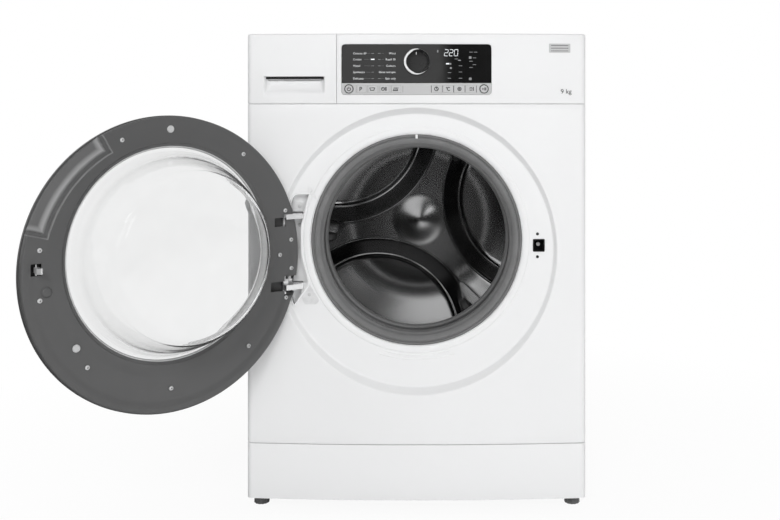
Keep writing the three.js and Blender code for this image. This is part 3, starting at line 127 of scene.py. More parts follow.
def start_chain(bm, points, closed=False):
    """A line of joined corners, keyed by their order."""
    corners = [bm.verts.new(p) for p in points]
    for pair in zip(corners, corners[1:]):
        bm.edges.new(pair)
    if closed:
        bm.edges.new((corners[-1], corners[0]))
    return {corner: i for i, corner in enumerate(corners)}


def start_ring(bm, count, place):
    """A closed ring of edges, each corner put where place says for its angle."""
    made = bmesh.ops.create_circle(bm, segments=count, radius=1)["verts"]
    ring = {corner: atan2(corner.co.y, corner.co.x) % tau for corner in made}
    for corner, key in ring.items():
        corner.co = place(key)
    return ring


def next_ring(bm, ring, place):
    """Extrudes a ring or chain of edges and puts each new corner where place says."""
    edges = {e for corner in ring for e in corner.link_edges
             if e.verts[0] in ring and e.verts[1] in ring and len(e.link_faces) < 2}
    made = bmesh.ops.extrude_edge_only(bm, edges=list(edges))["geom"]
    fresh = {}
    for corner in made:
        if isinstance(corner, bmesh.types.BMVert):
            source = next(e.other_vert(corner) for e in corner.link_edges
                          if e.other_vert(corner) in ring)
            fresh[corner] = ring[source]
    for corner, key in fresh.items():
        corner.co = place(key)
    return fresh


def each(at, steps):
    """Places for a loft: what at gives for a corner's key and one step after the other."""
    return [lambda key, step=step: at(key, *step) for step in steps]


def loft(bm, ring, places):
    """Takes a ring or chain through one place after the other."""
    for place in places:
        ring = next_ring(bm, ring, place)
    return ring


def lofted(count, places, closed=False):
    """A sheet through lines of count corners: the shape, its first and its last line."""
    bm = bmesh.new()
    first = start_chain(bm, [places[0](i) for i in range(count)], closed)
    return bm, first, loft(bm, first, places[1:])


def turned(count, places):
    """A sheet through rings of count corners: the shape, its first and its last ring."""
    bm = bmesh.new()
    first = start_ring(bm, count, places[0])
    return bm, first, loft(bm, first, places[1:])


def polar(radius, angle, z=PORTHOLE_Z):
    """The (x, z) at an angle on a circle round the machine's middle line."""
    return Vector((radius * cos(angle), z + radius * sin(angle)))


def circle(radius, depth, z=PORTHOLE_Z):
    """Where the corners of a round ring go."""
    return lambda angle: (radius * cos(angle), depth, z + radius * sin(angle))


def cap(bm, ring):
    """Closes a ring of edges with one face."""
    edges = [e for e in bm.edges if e.verts[0] in ring and e.verts[1] in ring]
    bmesh.ops.edgeloop_fill(bm, edges=edges)


def block(bm, low, high, turn=None):
    """Adds a box between two corners."""
    size = [b - a for a, b in zip(low, high)]
    middle = [(a + b) / 2 for a, b in zip(low, high)]
    matrix = Matrix.Translation(middle) @ (turn or Matrix()) @ Matrix.Diagonal((*size, 1))
    return bmesh.ops.create_cube(bm, size=1, matrix=matrix)["verts"]


def round_edges(bm, edges, radius, steps=3):
    bmesh.ops.bevel(bm, geom=edges, offset=radius, segments=steps, profile=0.5,
                    affect="EDGES", material=-1)


def rounded_block(bm, low, high, radius):
    corners = set(block(bm, low, high))
    round_edges(bm, [e for e in bm.edges if set(e.verts) <= corners], radius)


def rod(bm, start, end, radius, steps=24):
    """Adds a cylinder between two points."""
    start, end = Vector(start), Vector(end)
    along = end - start
    turn = along.to_track_quat("Z", "Y").to_matrix().to_4x4()
    bmesh.ops.create_cone(bm, cap_ends=True, segments=steps, radius1=radius, radius2=radius,
                          depth=along.length, matrix=Matrix.Translation((start + end) / 2) @ turn)


def prism(outline, y0, y1):
    """A plate whose (x, z) outline is given, from depth y0 back to y1."""
    bm = bmesh.new()
    face = bm.faces.new([bm.verts.new((p[0], y0, p[1])) for p in outline])
    made = bmesh.ops.extrude_face_region(bm, geom=[face], use_keep_orig=True)["geom"]
    moved = [g for g in made if isinstance(g, bmesh.types.BMVert)]
    bmesh.ops.translate(bm, verts=moved, vec=(0, y1 - y0, 0))
    outward(bm)
    return bm


def plan_prism(outline, z0, z1):
    """A plate whose outline is given from above, as (x, distance forward of the middle)."""
    bm = prism(outline, z0, z1)
    for corner in bm.verts:
        corner.co = (corner.co.x, -corner.co.z, corner.co.y)
    outward(bm)
    return bm


def rounded_outline(x0, x1, z0, z1, radius, steps=5):
    return soften([(x0, z0), (x1, z0), (x1, z1), (x0, z1)], radius, steps=steps)


def round_outline(x, z, radius):
    return [(x + radius * cos(tau * i / 40), z + radius * sin(tau * i / 40)) for i in range(40)]


def add(bm, other):
    """Joins another shape into bm."""
    mesh = bpy.data.meshes.new("joined")
    other.to_mesh(mesh)
    other.free()
    bm.from_mesh(mesh)
    bpy.data.meshes.remove(mesh)


def as_object(bm, name):
    mesh = bpy.data.meshes.new(name)
    bm.to_mesh(mesh)
    bm.free()
    thing = bpy.data.objects.new(name, mesh)
    scene.collection.objects.link(thing)
    return thing


def settled(thing):
    """The shape of an object once its modifiers or its text are worked out."""
    bpy.context.view_layer.update()
    bm = bmesh.new()
    bm.from_mesh(thing.evaluated_get(bpy.context.evaluated_depsgraph_get()).to_mesh())
    return bm


def carve(bm, cutters):
    """Cuts the cutters out of a closed shape."""
    target = as_object(bm, "carved")
    tools = [as_object(cutter, "cutter") for cutter in cutters]
    for tool in tools:
        cut = target.modifiers.new("cut", "BOOLEAN")
        cut.operation, cut.solver, cut.object = "DIFFERENCE", "EXACT", tool
    result = settled(target)
    for thing in [target, *tools]:
        bpy.data.objects.remove(thing)
    return result


def piece(name, bm, finish, body, stands_for=(), crease=35):
    """Turns a shape into a piece of the machine that rides on a body."""
    if body in ("door", "latch"):  # drawn closed; the frame has the door open
        turn = Matrix.Rotation(DOOR_TURN, 3, "Z")
        bmesh.ops.rotate(bm, verts=bm.verts, cent=HINGE, matrix=turn)
    bmesh.ops.scale(bm, verts=bm.verts, vec=(MM, MM, MM))
    thing = as_object(bm, name)
    thing.data.materials.append(finish)
    thing.data.shade_smooth()
    thing.data.set_sharp_from_angle(angle=radians(crease))
    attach(thing, body)
    if stands_for:
        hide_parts(*stands_for)


# ---- Finishes --------------------------------------------------------------
class Nodes:
    """A node tree with short ways to add and join nodes."""

    def __init__(self, tree):
        self.tree = tree

    def put(self, value, socket):
        """Joins a node's output to a socket, or writes a plain value there."""
        if isinstance(value, bpy.types.NodeSocket):
            self.tree.links.new(value, socket)
        else:
            socket.default_value = value

    def add(self, kind, inputs=(), **settings):
        node = self.tree.nodes.new("ShaderNode" + kind)
        for key, value in settings.items():
            setattr(node, key, value)
        for key, value in dict(inputs).items():
            self.put(value, node.inputs[key])
        return node

    def math(self, operation, *values):
        return self.add("Math", enumerate(values), operation=operation).outputs[0]

    def length(self, first, second):
        """How long the third side is when these two stand square."""
        squares = (self.math("MULTIPLY", side, side) for side in (first, second))
        return self.math("SQRT", self.math("ADD", *squares))

    def spread(self, source, low, high, from_low=0.3, from_high=0.7, **settings):
        """Maps a value from one span to another."""
        span = {"Value": source, "From Min": from_low, "From Max": from_high,
                "To Min": low, "To Max": high}
        return self.add("MapRange", span, **settings).outputs["Result"]

    def blend(self, amount, first, second):
        first, second = ((*side, 1) if isinstance(side, tuple) else side
                         for side in (first, second))
        return self.add("Mix", {"Factor": amount, "A": first, "B": second},
                        data_type="RGBA").outputs["Result"]


class Finish(Nodes):
    """A material with short ways to set its look. Lengths are in metres."""

    def __init__(self, name):
        self.material = bpy.data.materials.new(name)
        self.material.use_nodes = True
        super().__init__(self.material.node_tree)
        self.shader = self.tree.nodes["Principled BSDF"]
        self.place = self.add("TexCoord").outputs["Object"]

    def look(self, **inputs):
        for key, value in inputs.items():
            self.put(value, self.shader.inputs[key.replace("_", " ")])

    def noise(self, scale, detail=3, vector=None, roughness=0.5):
        return self.add("TexNoise", {"Scale": scale, "Detail": detail, "Roughness": roughness,
                                     "Vector": vector or self.place}).outputs["Fac"]

    def patchy(self, noise, first, second):
        return self.blend(self.spread(noise, 0, 1), first, second)

    def relief(self, height, strength, distance):
        bump = self.add("Bump", {"Strength": strength, "Distance": distance, "Height": height})
        self.look(Normal=bump.outputs["Normal"])


def surface(name, tone, change=0.04, rough=(0.35, 0.45), grain=1500, depth=0.00002,
            strength=0.2, patch=9, metal=0, coat=0):
    """A moulded, painted or cast surface: uneven tone, uneven gloss and a fine grain."""
    finish = Finish(name)
    dark, light = (tuple(min(1, c * (1 + way * change)) for c in tone) for way in (-1, 1))
    finish.look(Base_Color=finish.patchy(finish.noise(patch, 4), dark, light),
                Roughness=finish.spread(finish.noise(patch * 5, 5), *rough), Metallic=metal)
    finish.relief(finish.noise(grain, 2), strength, depth)
    if coat:
        finish.look(Coat_Weight=coat, Coat_Roughness=0.08)
    return finish.material


def grey(value):
    return (value, value * 1.004, value * 1.01)


ENAMEL = surface("enamel", grey(0.80), 0.004, (0.30, 0.36), 900, 0.00002, 0.03, 3, coat=0.1)
MOULDING = surface("white_moulding", grey(0.80), 0.005, (0.36, 0.42), 2600, 0.00001, 0.05, 4)
LAMINATE = surface("worktop_laminate", grey(0.79), 0.015, (0.34, 0.46), 1800, 0.00003, 0.15, 12)
PLAIN = surface("plain_plastic", grey(0.50), 0.05, (0.45, 0.6), 1500, 0.00004, 0.2, 14)
POCKET_WHITE = surface("pocket_white", grey(0.78), 0.015, (0.35, 0.45), 1500, 0.00002, 0.1)
DOOR_GREY = surface("door_grey", grey(0.090), 0.04, (0.34, 0.42), 3200, 0.00003, 0.15, 10)
SHELL_GREY = surface("door_shell_grey", grey(0.060), 0.05, (0.28, 0.36), 2500, 0.00002, 0.1)
BLACK = surface("black_plastic", grey(0.006), 0.3, (0.4, 0.6), 1500, 0.00003, 0.2)
BLACK_RUBBER = surface("black_rubber", grey(0.022), 0.2, (0.6, 0.8), 900, 0.00006, 0.4)
SILVER = surface("key_silver", grey(0.54), 0.02, (0.30, 0.38), 3000, 0.00001, 0.08, 20,
                 metal=0.1)
KNOB_BLACK = surface("knob_black", grey(0.008), 0.2, (0.2, 0.3), 2500, 0.00001, 0.05, coat=0.2)
CHROME = surface("bright_chrome", grey(0.82), 0.03, (0.10, 0.2), 900, 0.00002, 0.06, 30,
                 metal=0.6)
ZINC = surface("zinc_plate", grey(0.72), 0.10, (0.34, 0.5), 500, 0.00008, 0.3, 90, metal=0.1)
SCREW = surface("screw_zinc", grey(0.58), 0.08, (0.3, 0.4), 900, 0.00003, 0.15, 80, metal=0.1)
CONCRETE = surface("concrete", grey(0.36), 0.25, (0.75, 0.95), 300, 0.0004, 0.6, 40)
ALLOY = surface("cast_alloy", grey(0.5), 0.1, (0.4, 0.6), 600, 0.0001, 0.35, 50, metal=1)
GREEN = surface("board_green", (0.012, 0.09, 0.035), 0.15, (0.3, 0.45), 900, 0.00004, 0.2)
LIFTER_GREY = surface("lifter_grey", grey(0.035), 0.08, (0.2, 0.28), 1800, 0.00001, 0.05,
                      coat=0.4)
FOOT_GREY = surface("foot_rubber", grey(0.10), 0.1, (0.4, 0.5), 900, 0.00003, 0.2)
PRINT_GREY = surface("print_grey", grey(0.02), 0.05, (0.4, 0.5), 1500, 0.00001, 0.05)
PRINT_WHITE = surface("print_white", grey(0.62), 0.04, (0.4, 0.5), 1500, 0.00001, 0.05)
# Pale grey, not metal. On the knob it paints the highlight on the rim; on the lock striker it is
# the part's own colour.
CHROME_WHITE = surface("knob_band_silver", grey(0.80), 0.03, (0.25, 0.35), 1500, 0.00001, 0.05,
                       30, metal=0)
BADGE = surface("badge_grey", grey(0.52), 0.03, (0.3, 0.4), 2500, 0.00001, 0.05)


def door_face_painted_highlights():
    """Satin grey with painted highlights: a pale line on the finger grip's edge, a pale band along
    the wall of its trough and one near the ring's outer rim beside the grip.
    """
    finish = Finish("door_face")
    calc, spread = finish.math, finish.spread
    turn = Matrix.Rotation(-DOOR_TURN, 3, "Z")
    closed = finish.add("Mapping", {"Rotation": (0, 0, -DOOR_TURN), "Vector": finish.place,
                                    "Location": (HINGE - turn @ HINGE) * MM})
    x, _, z = finish.add("SeparateXYZ", {0: closed.outputs["Vector"]}).outputs
    up = calc("SUBTRACT", z, DISH_Z * MM)
    radius = finish.length(x, up)
    angle = calc("ARCTAN2", up, x)
    ends = calc("MINIMUM", calc("SUBTRACT", angle, radians(GRIP_START)),
                calc("SUBTRACT", radians(GRIP_END), angle))
    inside = calc("MINIMUM", calc("MULTIPLY", ends, radius),
                  calc("SUBTRACT", radius, GRIP_RADIUS * MM))
    # Painted highlights: the line along the grip's edge, the band on the trough's wall and the band
    # near the outer rim.
    off_edge = calc("ABSOLUTE", calc("SUBTRACT", inside, 0.0006))
    edge = spread(off_edge, 0.5, 0, 0.0005, 0.0013)
    wall = calc("MULTIPLY", spread(inside, 0, 1, 0.0070, 0.0100),
                spread(inside, 1, 0.16, 0.0105, 0.0180))
    rim = calc("MULTIPLY", spread(radius, 0, 0.3, 0.2325, 0.2360),
               calc("GREATER_THAN", inside, 0.0072))
    share = calc("MAXIMUM", edge, calc("MAXIMUM", wall, rim))
    # The plain grey turns pale grey where the painted highlights lie.
    plain = finish.patchy(finish.noise(10, 4), grey(0.088), grey(0.094))
    finish.look(Base_Color=finish.blend(share, plain, grey(0.30)),
                Roughness=spread(finish.noise(50, 5), 0.33, 0.40))
    finish.relief(finish.noise(3200, 2), 0.15, 0.00003)
    return finish.material


def rubber_finish():
    finish = Finish("gasket_rubber")
    bloom = finish.noise(26, 6, roughness=0.65)
    finish.look(Base_Color=finish.patchy(bloom, grey(0.150), grey(0.185)),
                Roughness=finish.spread(finish.noise(60, 5), 0.40, 0.56),
                Sheen_Weight=0.12, Sheen_Roughness=0.5)
    finish.relief(finish.noise(1400, 3), 0.25, 0.00005)
    return finish.material


def drum_finish():
    """Rolled stainless sheet: drawn lines round the axis, soft stains and holes in the wall."""
    finish = Finish("drum_stainless")
    calc, spread = finish.math, finish.spread
    x, y, z = finish.add("SeparateXYZ", {0: finish.place}).outputs
    up = calc("SUBTRACT", z, PORTHOLE_Z * MM)
    radius = finish.length(x, up)
    angle = calc("ARCTAN2", up, x)
    # Holes: a staggered grid round the side wall.
    pitch = 0.0135
    along = calc("DIVIDE", y, pitch * 0.866)
    odd = calc("MULTIPLY", calc("MODULO", calc("FLOOR", along), 2), 0.5)
    shifted = calc("ADD", calc("MULTIPLY", angle, 0.2488 / pitch), calc("ABSOLUTE", odd))
    reach = finish.length(*(calc("SUBTRACT", calc("FRACT", value), 0.5)
                            for value in (shifted, along)))
    wall = calc("GREATER_THAN", radius, 0.2465)
    margin = calc("MULTIPLY", calc("GREATER_THAN", y, -0.205), calc("LESS_THAN", y, 0.055))
    hole = calc("MULTIPLY", spread(reach, 1, 0, 0.13, 0.17), calc("MULTIPLY", wall, margin))
    # Drawn lines: noise that changes quickly with radius and slowly round the axis.
    lines = finish.add("CombineXYZ", {0: calc("MULTIPLY", radius, 500),
                                      1: calc("MULTIPLY", angle, 1.5)}).outputs[0]
    tone = finish.patchy(finish.noise(9, 4), grey(0.40), grey(0.44))
    finish.look(Base_Color=finish.blend(hole, tone, grey(0.004)), Metallic=1,
                Roughness=spread(finish.noise(1, 3, lines), 0.165, 0.18))
    finish.relief(hole, 0.6, -0.001)
    return finish.material


def glass_finish(name, tone, bend):
    finish = Finish(name)
    smears = finish.noise(30, 4)
    finish.look(Base_Color=finish.patchy(smears, tone, tuple(c * 0.985 for c in tone)),
                Roughness=finish.spread(smears, 0, 0.012), Transmission_Weight=1, IOR=bend)
    finish.relief(finish.noise(14, 1), 0.02, 0.0004)
    return finish.material


def smoked_panel():
    finish = Finish("display_black")
    finish.look(Base_Color=finish.patchy(finish.noise(20, 4), grey(0.006), grey(0.009)),
                Roughness=finish.spread(finish.noise(50, 4), 0.05, 0.10),
                Specular_IOR_Level=0.6)
    finish.relief(finish.noise(90, 1), 0.02, 0.0001)
    return finish.material


def glow(name, tone, strength):
    """Print with a glow: lit print behind the panel for the display's figures; on the program words
    the glow is painted light.
    """
    finish = Finish(name)
    finish.look(Base_Color=finish.patchy(finish.noise(400), tone, tuple(c * 0.94 for c in tone)),
                Emission_Color=(*tone, 1), Emission_Strength=strength, Roughness=0.4)
    return finish.material


RUBBER = rubber_finish()
DOOR_FACE_PAINTED_HIGHLIGHTS = door_face_painted_highlights()
DRUM_STEEL = drum_finish()
BOWL_GLASS = glass_finish("bowl_glass", (0.93, 0.932, 0.932), 1.36)
COVER_CLEAR = glass_finish("window_clear", (0.943, 0.945, 0.945), 1.04)
DISPLAY = smoked_panel()
LIT = glow("lit_print", (0.85, 0.87, 0.9), 0.35)
DIM_PRINT = glow("panel_print", (0.25, 0.255, 0.26), 0.05)
# The program words are pale print; their glow is painted light that makes them read brighter.
LABEL_PRINT = glow("label_print", (0.72, 0.73, 0.74), 0.18)
FAINT_PRINT = glow("faint_print", (0.20, 0.205, 0.21), 0.06)


# ---- Cabinet ---------------------------------------------------------------
def face_towards(bm, direction=(0, -1, 0)):
    """Turns an open sheet's faces so that most of it faces a direction."""
    outward(bm)
    bm.normal_update()
    if sum(f.normal.dot(Vector(direction)) * f.calc_area() for f in bm.faces) < 0:
        bmesh.ops.reverse_faces(bm, faces=bm.faces)


def give_thickness(bm, thickness, direction=(0, -1, 0)):
    face_towards(bm, direction)
    bmesh.ops.solidify(bm, geom=bm.faces[:], thickness=thickness)
    outward(bm)


def stack(outline, levels, upright=False):
    """A sheet that follows an outline through levels of (depth, inset) or (height, inset)."""
    def at(level, inset):
        loop = shrunk(outline, inset)
        if upright:
            return lambda i: (loop[i].x, loop[i].y, level)
        return lambda i: (loop[i].x, level, loop[i].y)

    return lofted(len(outline), [at(*level) for level in levels], closed=True)


def inward(x, y):
    """The way into the cabinet, square to its front outline seen from above."""
    if abs(x) <= BOW_HALF - 1e-6:
        return Vector((-x, FRONT - BOW + BOW_RADIUS - y)).normalized()
    centre = copysign(BOW_HALF, x)
    if y < FRONT + CORNER:
        return Vector((centre - x, FRONT + CORNER - y)).normalized()
    return Vector((-copysign(1, x), 0))


def corner_points(side):
    """A front corner of the cabinet from above, from the side wall to the front."""
    turns = [radians(90 * step / 8) for step in range(8)]
    return [(side * 300, RETURN_BACK), (side * 300, -284),
            *((side * (BOW_HALF + CORNER * cos(turn)), FRONT + CORNER - CORNER * sin(turn))
              for turn in turns)]


def front_outline(left, right):
    """Corners of the front's outline with their inward ways, from left to right."""
    def end(x, way):
        """Round the cabinet's corner, or turned in where a strip ends on the front."""
        if abs(x) > BOW_HALF:
            return [(p, inward(*p)) for p in corner_points(-way)]
        return [((x + way * across, bow(x) + back), Vector((0, 1)))
                for across, back in ((0, 14), (0, 1.2), (0.35, 0.35))]

    first, last = max(-BOW_HALF, left + 1.2), min(BOW_HALF, right - 1.2)
    xs = [first + (last - first) * step / 64 for step in range(65)]
    return [*end(left, 1), *(((x, bow(x)), inward(x, bow(x))) for x in xs),
            *reversed(end(right, -1))]


def band(left, right, levels):
    """A moulded strip of the front: its outline raised through levels of (height, inset)."""
    line = front_outline(left, right)

    def at(i, height, inset):
        (x, y), way = line[i]
        near = inset if abs(x) < BOW_HALF - 1 else min(inset, CORNER - 0.5)
        return (x + way.x * near, y + way.y * near, height)

    bm = lofted(len(line), each(at, levels))[0]
    give_thickness(bm, 1.4)
    return bm


def folded_edge(z, side):
    """Levels of a strip's lower (side 1) or upper (side -1) edge, folded in."""
    levels = [(z, 12), (z, 1.2), (z + side * 0.35, 0.35), (z + side * 1.2, 0)]
    return levels[::side]


def square_ray(angle, z, half, low, high):
    """Where a ray from height z on the middle line leaves an upright rectangle."""
    c, s = cos(angle), sin(angle)
    reach = min(half / max(abs(c), 1e-9), (high - z if s > 0 else z - low) / max(abs(s), 1e-9))
    return Vector((c * reach, z + s * reach))


def face_ray(angle):
    """Where a ray from the dish's middle leaves the front panel's flat part."""
    return square_ray(angle, DISH_Z, BOW_HALF, PANEL_LOW + 1.2, PANEL_HIGH - 1.2)


def dish_profile(angle):
    """(radius, depth) of the dish's rim, wall and floor edge at an angle."""
    rim = DISH_RADIUS + 8
    for _ in range(4):
        rim = DISH_RADIUS + (DISH_FLOOR - bow(rim * cos(angle))) * 10 / 17
    top = bow(rim * cos(angle))
    return soften([(rim + 4, top), (rim, top), (DISH_RADIUS, DISH_FLOOR),
                   (DISH_RADIUS - 5, DISH_FLOOR)], 3.2, closed=False, steps=5)


def front_panel_sheet():
    """The pressed front: bowed face, round dish, raised collar and rolled porthole edge."""
    bm = bmesh.new()
    edge = start_ring(bm, 288, lambda angle: (cos(angle), 0, sin(angle)))
    for x in (BOW_HALF, -BOW_HALF):
        for z in (PANEL_HIGH - 1.2, PANEL_LOW + 1.2):
            corner = atan2(z - DISH_Z, x) % tau
            edge[min(edge, key=lambda v: abs(edge[v] - corner))] = corner
    for vertex, angle in edge.items():
        x, z = face_ray(angle)
        vertex.co = (x, bow(x), z)
    profiles = {angle: dish_profile(angle) for angle in edge.values()}

    def face_at(angle, t):
        spot = face_ray(angle).lerp(polar(profiles[angle][0].x, angle, DISH_Z), t)
        return (spot.x, bow(spot.x), spot.y)

    def wall_at(angle, k):
        return circle(*profiles[angle][k], DISH_Z)(angle)

    def floor_at(angle, t):
        spot = polar(DISH_RADIUS - 5, angle, DISH_Z).lerp(polar(COLLAR_RADIUS, angle), t)
        return (spot.x, DISH_FLOOR, spot.y)

    collar = soften([(COLLAR_RADIUS, DISH_FLOOR), (201, DISH_FLOOR), (199.6, DISH_FLOOR - 1.3),
                     (194, DISH_FLOOR - 1.3), (PORTHOLE_RADIUS, DISH_FLOOR + 1),
                     (PORTHOLE_RADIUS, DISH_FLOOR + 12)], 2.6, closed=False)
    loft(bm, edge, [*each(face_at, zip((0.2, 0.45, 0.7, 0.9, 1))),
                    *each(wall_at, zip(range(1, len(profiles[corner])))),
                    *each(floor_at, zip((0.33, 0.66, 1))), *(circle(*p) for p in collar[1:])])

    for side in (-1, 1):
        chain = {v: v.co.z for v in edge if abs(v.co.x - side * BOW_HALF) < 1e-3}
        loft(bm, chain, each(lambda z, x, y: (x, y, z), reversed(corner_points(side))))
    for z, side in ((PANEL_HIGH, -1), (PANEL_LOW, 1)):
        chain = {v: v.co.xy for v in bm.verts
                 if abs(v.co.z - (z + side * 1.2)) < 1e-3 and v.is_boundary}
        loft(bm, chain, each(lambda spot, level, inset: (*(spot + inward(*spot) * inset), level),
                             ((z + side * 0.35, 0.35), (z, 1.2), (z, 8))))
    give_thickness(bm, 1)
    return bm


def pocket_outline():
    """The hinge pocket's outline in the dish floor, between two arcs."""
    outline = []
    for radius, middle, way, steps in ((241, DISH_Z, 1, (0, 6, 12, 18, 24)),
                                       (204.5, PORTHOLE_Z, -1, (5, 11, 17, 23, 24))):
        for step in steps:
            z = DISH_Z + way * (102 - 8.5 * step)
            outline.append((-sqrt(radius**2 - (z - middle) ** 2), z))
    return soften(outline, 9, steps=6)


def shrunk(outline, amount):
    """A closed outline moved towards its inside."""
    points = [Vector(p[:2]) for p in outline]
    area = sum(a.cross(b) for a, b in zip(points, points[1:] + points[:1]))
    moved = []
    for i, here in enumerate(points):
        along = (points[(i + 1) % len(points)] - points[i - 1]).normalized()
        moved.append(here + Vector((-along.y, along.x)) * copysign(amount, area))
    return moved


def lined_pocket(outline, levels, floor=True):
    """Walls, and a floor or none, that follow an outline through levels of (depth, inset)."""
    bm, _, last = stack(outline, levels)
    if floor:
        cap(bm, last)
    return bm


LATCH_OPENING = rounded_outline(206.5, 227.5, 458.75, 481.25, 2)


def make_front():
    pocket = pocket_outline()
    holes = [prism(outline, -299, -285) for outline in (pocket, LATCH_OPENING)]
    sheet = carve(front_panel_sheet(), holes)
    piece("front_skin", sheet, ENAMEL, "cabinet", ["front_panel"], 40)

    liner = lined_pocket(pocket, [(-295.1, -2.4), (-295.3, -1.2), (-294.6, -0.2), (-293.2, 0.3),
                                  (-262, 1.2), (-257.6, 2.6), (-256.6, 5.6)])
    give_thickness(liner, 0.9)
    piece("hinge_pocket", liner, POCKET_WHITE, "cabinet")

    ribs = bmesh.new()
    for radius, half in ((197.5, 15), (205, 17), (212.5, 18.5)):
        section = soften([(radius - 1.6, DISH_FLOOR + 0.3), (radius, DISH_FLOOR - 0.9),
                          (radius + 1.6, DISH_FLOOR + 0.3)], 1.2, closed=False)
        add(ribs, swept(section, 0, PORTHOLE_Z, -90 - half, 2 * half, 40, False))
    face_towards(ribs)
    piece("drip_ribs", ribs, ENAMEL, "cabinet")

    lock = lined_pocket(LATCH_OPENING, [(-294.4, -1.3), (-294.9, -1.2), (-294.9, 1.1),
                                        (-293.6, 1.6), (-284, 1.8)], floor=False)
    give_thickness(lock, 0.6)
    for z in (449.9, 490.4):
        rod(lock, (214.6, -294.6, z), (214.6, -293.4, z), 2.6)
        rod(lock, (214.6, -295, z), (214.6, -294.5, z), 1.7)
    piece("lock_surround", lock, BLACK, "cabinet", crease=30)
    striker = spun([(0, -276), (2.4, -275.8), (3.4, -275), (3.6, -272), (0, -272)],
                   217.8, 470, 24)
    piece("lock_striker", striker, CHROME_WHITE, "cabinet")

    kick = band(-300, 300, folded_edge(23, 1) + folded_edge(120.4, -1))
    piece("plinth_cover", kick, MOULDING, "cabinet", ["kick_plate"])


def handle_opening(shrink=0):
    return rounded_outline(-271 + shrink, -161 - shrink, 738 + shrink, 770 - shrink,
                           max(1, 4 - shrink))


STRIP_LEVELS = folded_edge(CONSOLE_LOW, 1) + [(841.2, 0), (842.6, 0.3), (843.8, 1), (844.6, 2.1),
                                              (844.9, 3.4), (845, 5), (845, 20)]


def make_drawer():
    face = carve(band(-300, -141.3, STRIP_LEVELS), [prism(handle_opening(), -320, -290)])
    piece("drawer_face", face, MOULDING, "drawer", ["drawer_front"], 38)

    # The grip is a scoop that deepens upwards and runs in under the upper edge.
    def scoop(i, inset, outline):
        x, z = outline[i]
        rise = max(0, min(1, (z - 738) / 25))
        depth = 13 * sin(rise * pi / 2) ** 0.85 + 12 * ease(z, 763, 764.6)
        side = ease(min(x + 271, -161 - x), 0, 9)
        return (x, bow(x) + 0.8 + depth * side * ease(inset, -0.2, 1.4) - 0.8 * (inset < 0), z)

    insets = (-0.8, 0, 0.4, 0.9, 1.6, 2.6, 4, 6, 8.5, 11, 13.5, 15.5)
    grip, _, bottom = lofted(len(handle_opening()), closed=True, places=each(
        scoop, [(inset, handle_opening(inset)) for inset in insets]))
    cap(grip, bottom)
    face_towards(grip)
    piece("drawer_grip", grip, MOULDING, "drawer", crease=50)
    # A black plate at the top of the grip stands in for the shade deep in its slot: painted shade.
    gap = bowed_plate(rounded_outline(-269, -163, 765.2, 769.7, 2.2), -8.5, 1)
    piece("drawer_grip_painted_shade", gap, BLACK, "drawer")


def bowed_plate(outline, proud, thick, edge=0, every=6):
    """A plate that follows the bowed front, its rim rounded by edge."""
    bm = prism(outline, 0, thick)
    if edge:
        round_edges(bm, [e for e in bm.edges if all(abs(v.co.y) < 1e-6 for v in e.verts)], edge)
    low, high = min(p[0] for p in outline), max(p[0] for p in outline)
    x = low + every
    while x < high - 0.5:
        bmesh.ops.bisect_plane(bm, geom=bm.verts[:] + bm.edges[:] + bm.faces[:],
                               plane_co=(x, 0, 0), plane_no=(1, 0, 0))
        x += every
    for vertex in bm.verts:
        vertex.co.y += bow(vertex.co.x) - proud
    return bm


def make_console():
    window = prism(rounded_outline(-132.3, 132.3, 736.7, 826.3, 7.2), -330, -290)
    piece("console_face", carve(band(-140.8, 300, STRIP_LEVELS), [window]), MOULDING,
          "cabinet", ["console_fascia"], 38)

    glass = [(-131.8, 757.9), (131.8, 757.9),
             *(p for p in rounded_outline(-131.8, 131.8, 737, 825.8, 7) if p[1] > 758)]
    piece("display_glass", bowed_plate(glass, 0.3, 2, 0.5), DISPLAY, "cabinet",
          ["display_window"], 12)
    make_strip()
    make_knob()
    make_prints()


KEYS = [("power_key", -119), ("option_key_1", -98), ("option_key_2", -77.7),
        ("option_key_3", -57.4), ("option_key_4", -37.1), ("option_key_5", 35.1),
        ("option_key_6", 55.4), ("option_key_7", 75.7), ("option_key_8", 96),
        ("start_key", 119)]
KEY_Z = 747.3
KNOB_Z = 794.6
PROUD = 0.42  # how far flat print stands in front of the bowed front


def key_outline(name, x, radius, gap, corner):
    """A round key's outline by its radius, or an oblong one's grown by a gap."""
    if name in ("power_key", "start_key"):
        return round_outline(x, KEY_Z, radius)
    return rounded_outline(x - 9.4 - gap, x + 9.4 + gap, 740.9 - gap, 753.7 + gap, corner)


def make_strip():
    outline = [*(p for p in rounded_outline(-131.8, 131.8, 737.2, 800, 7) if p[1] < 757),
               (131.8, 757.5), (-131.8, 757.5)]
    holes = [prism(key_outline(name, x, 8.5, 0.15, 1.1), -330, -290) for name, x in KEYS]
    piece("silver_strip", carve(bowed_plate(outline, 0.1, 1.8, 0.35), holes), SILVER,
          "cabinet", ["key_strip"], 12)
    for name, width, places in (("left_key_lines", 0.4, (-105, -85.5, -64.3, -44.3, -23.9)),
                                ("right_key_lines", 0.8, (26.3, 46.2, 65.4, 85.4, 105.5))):
        lines = bmesh.new()
        for x in places:
            bar(lines, x, 741.5, x, 752.8, width)
        piece(name, lines, PRINT_GREY, "cabinet")
    for name, x in KEYS:
        key = bowed_plate(key_outline(name, x, 8.1, 0, 1), 0.35, 1.6,
                          0.45 if "option" in name else 0.5, 3)
        piece(name + "_cap", key, SILVER, name, [name], 12)
        piece(name + "_mark", key_mark(name, x), PRINT_GREY, name)


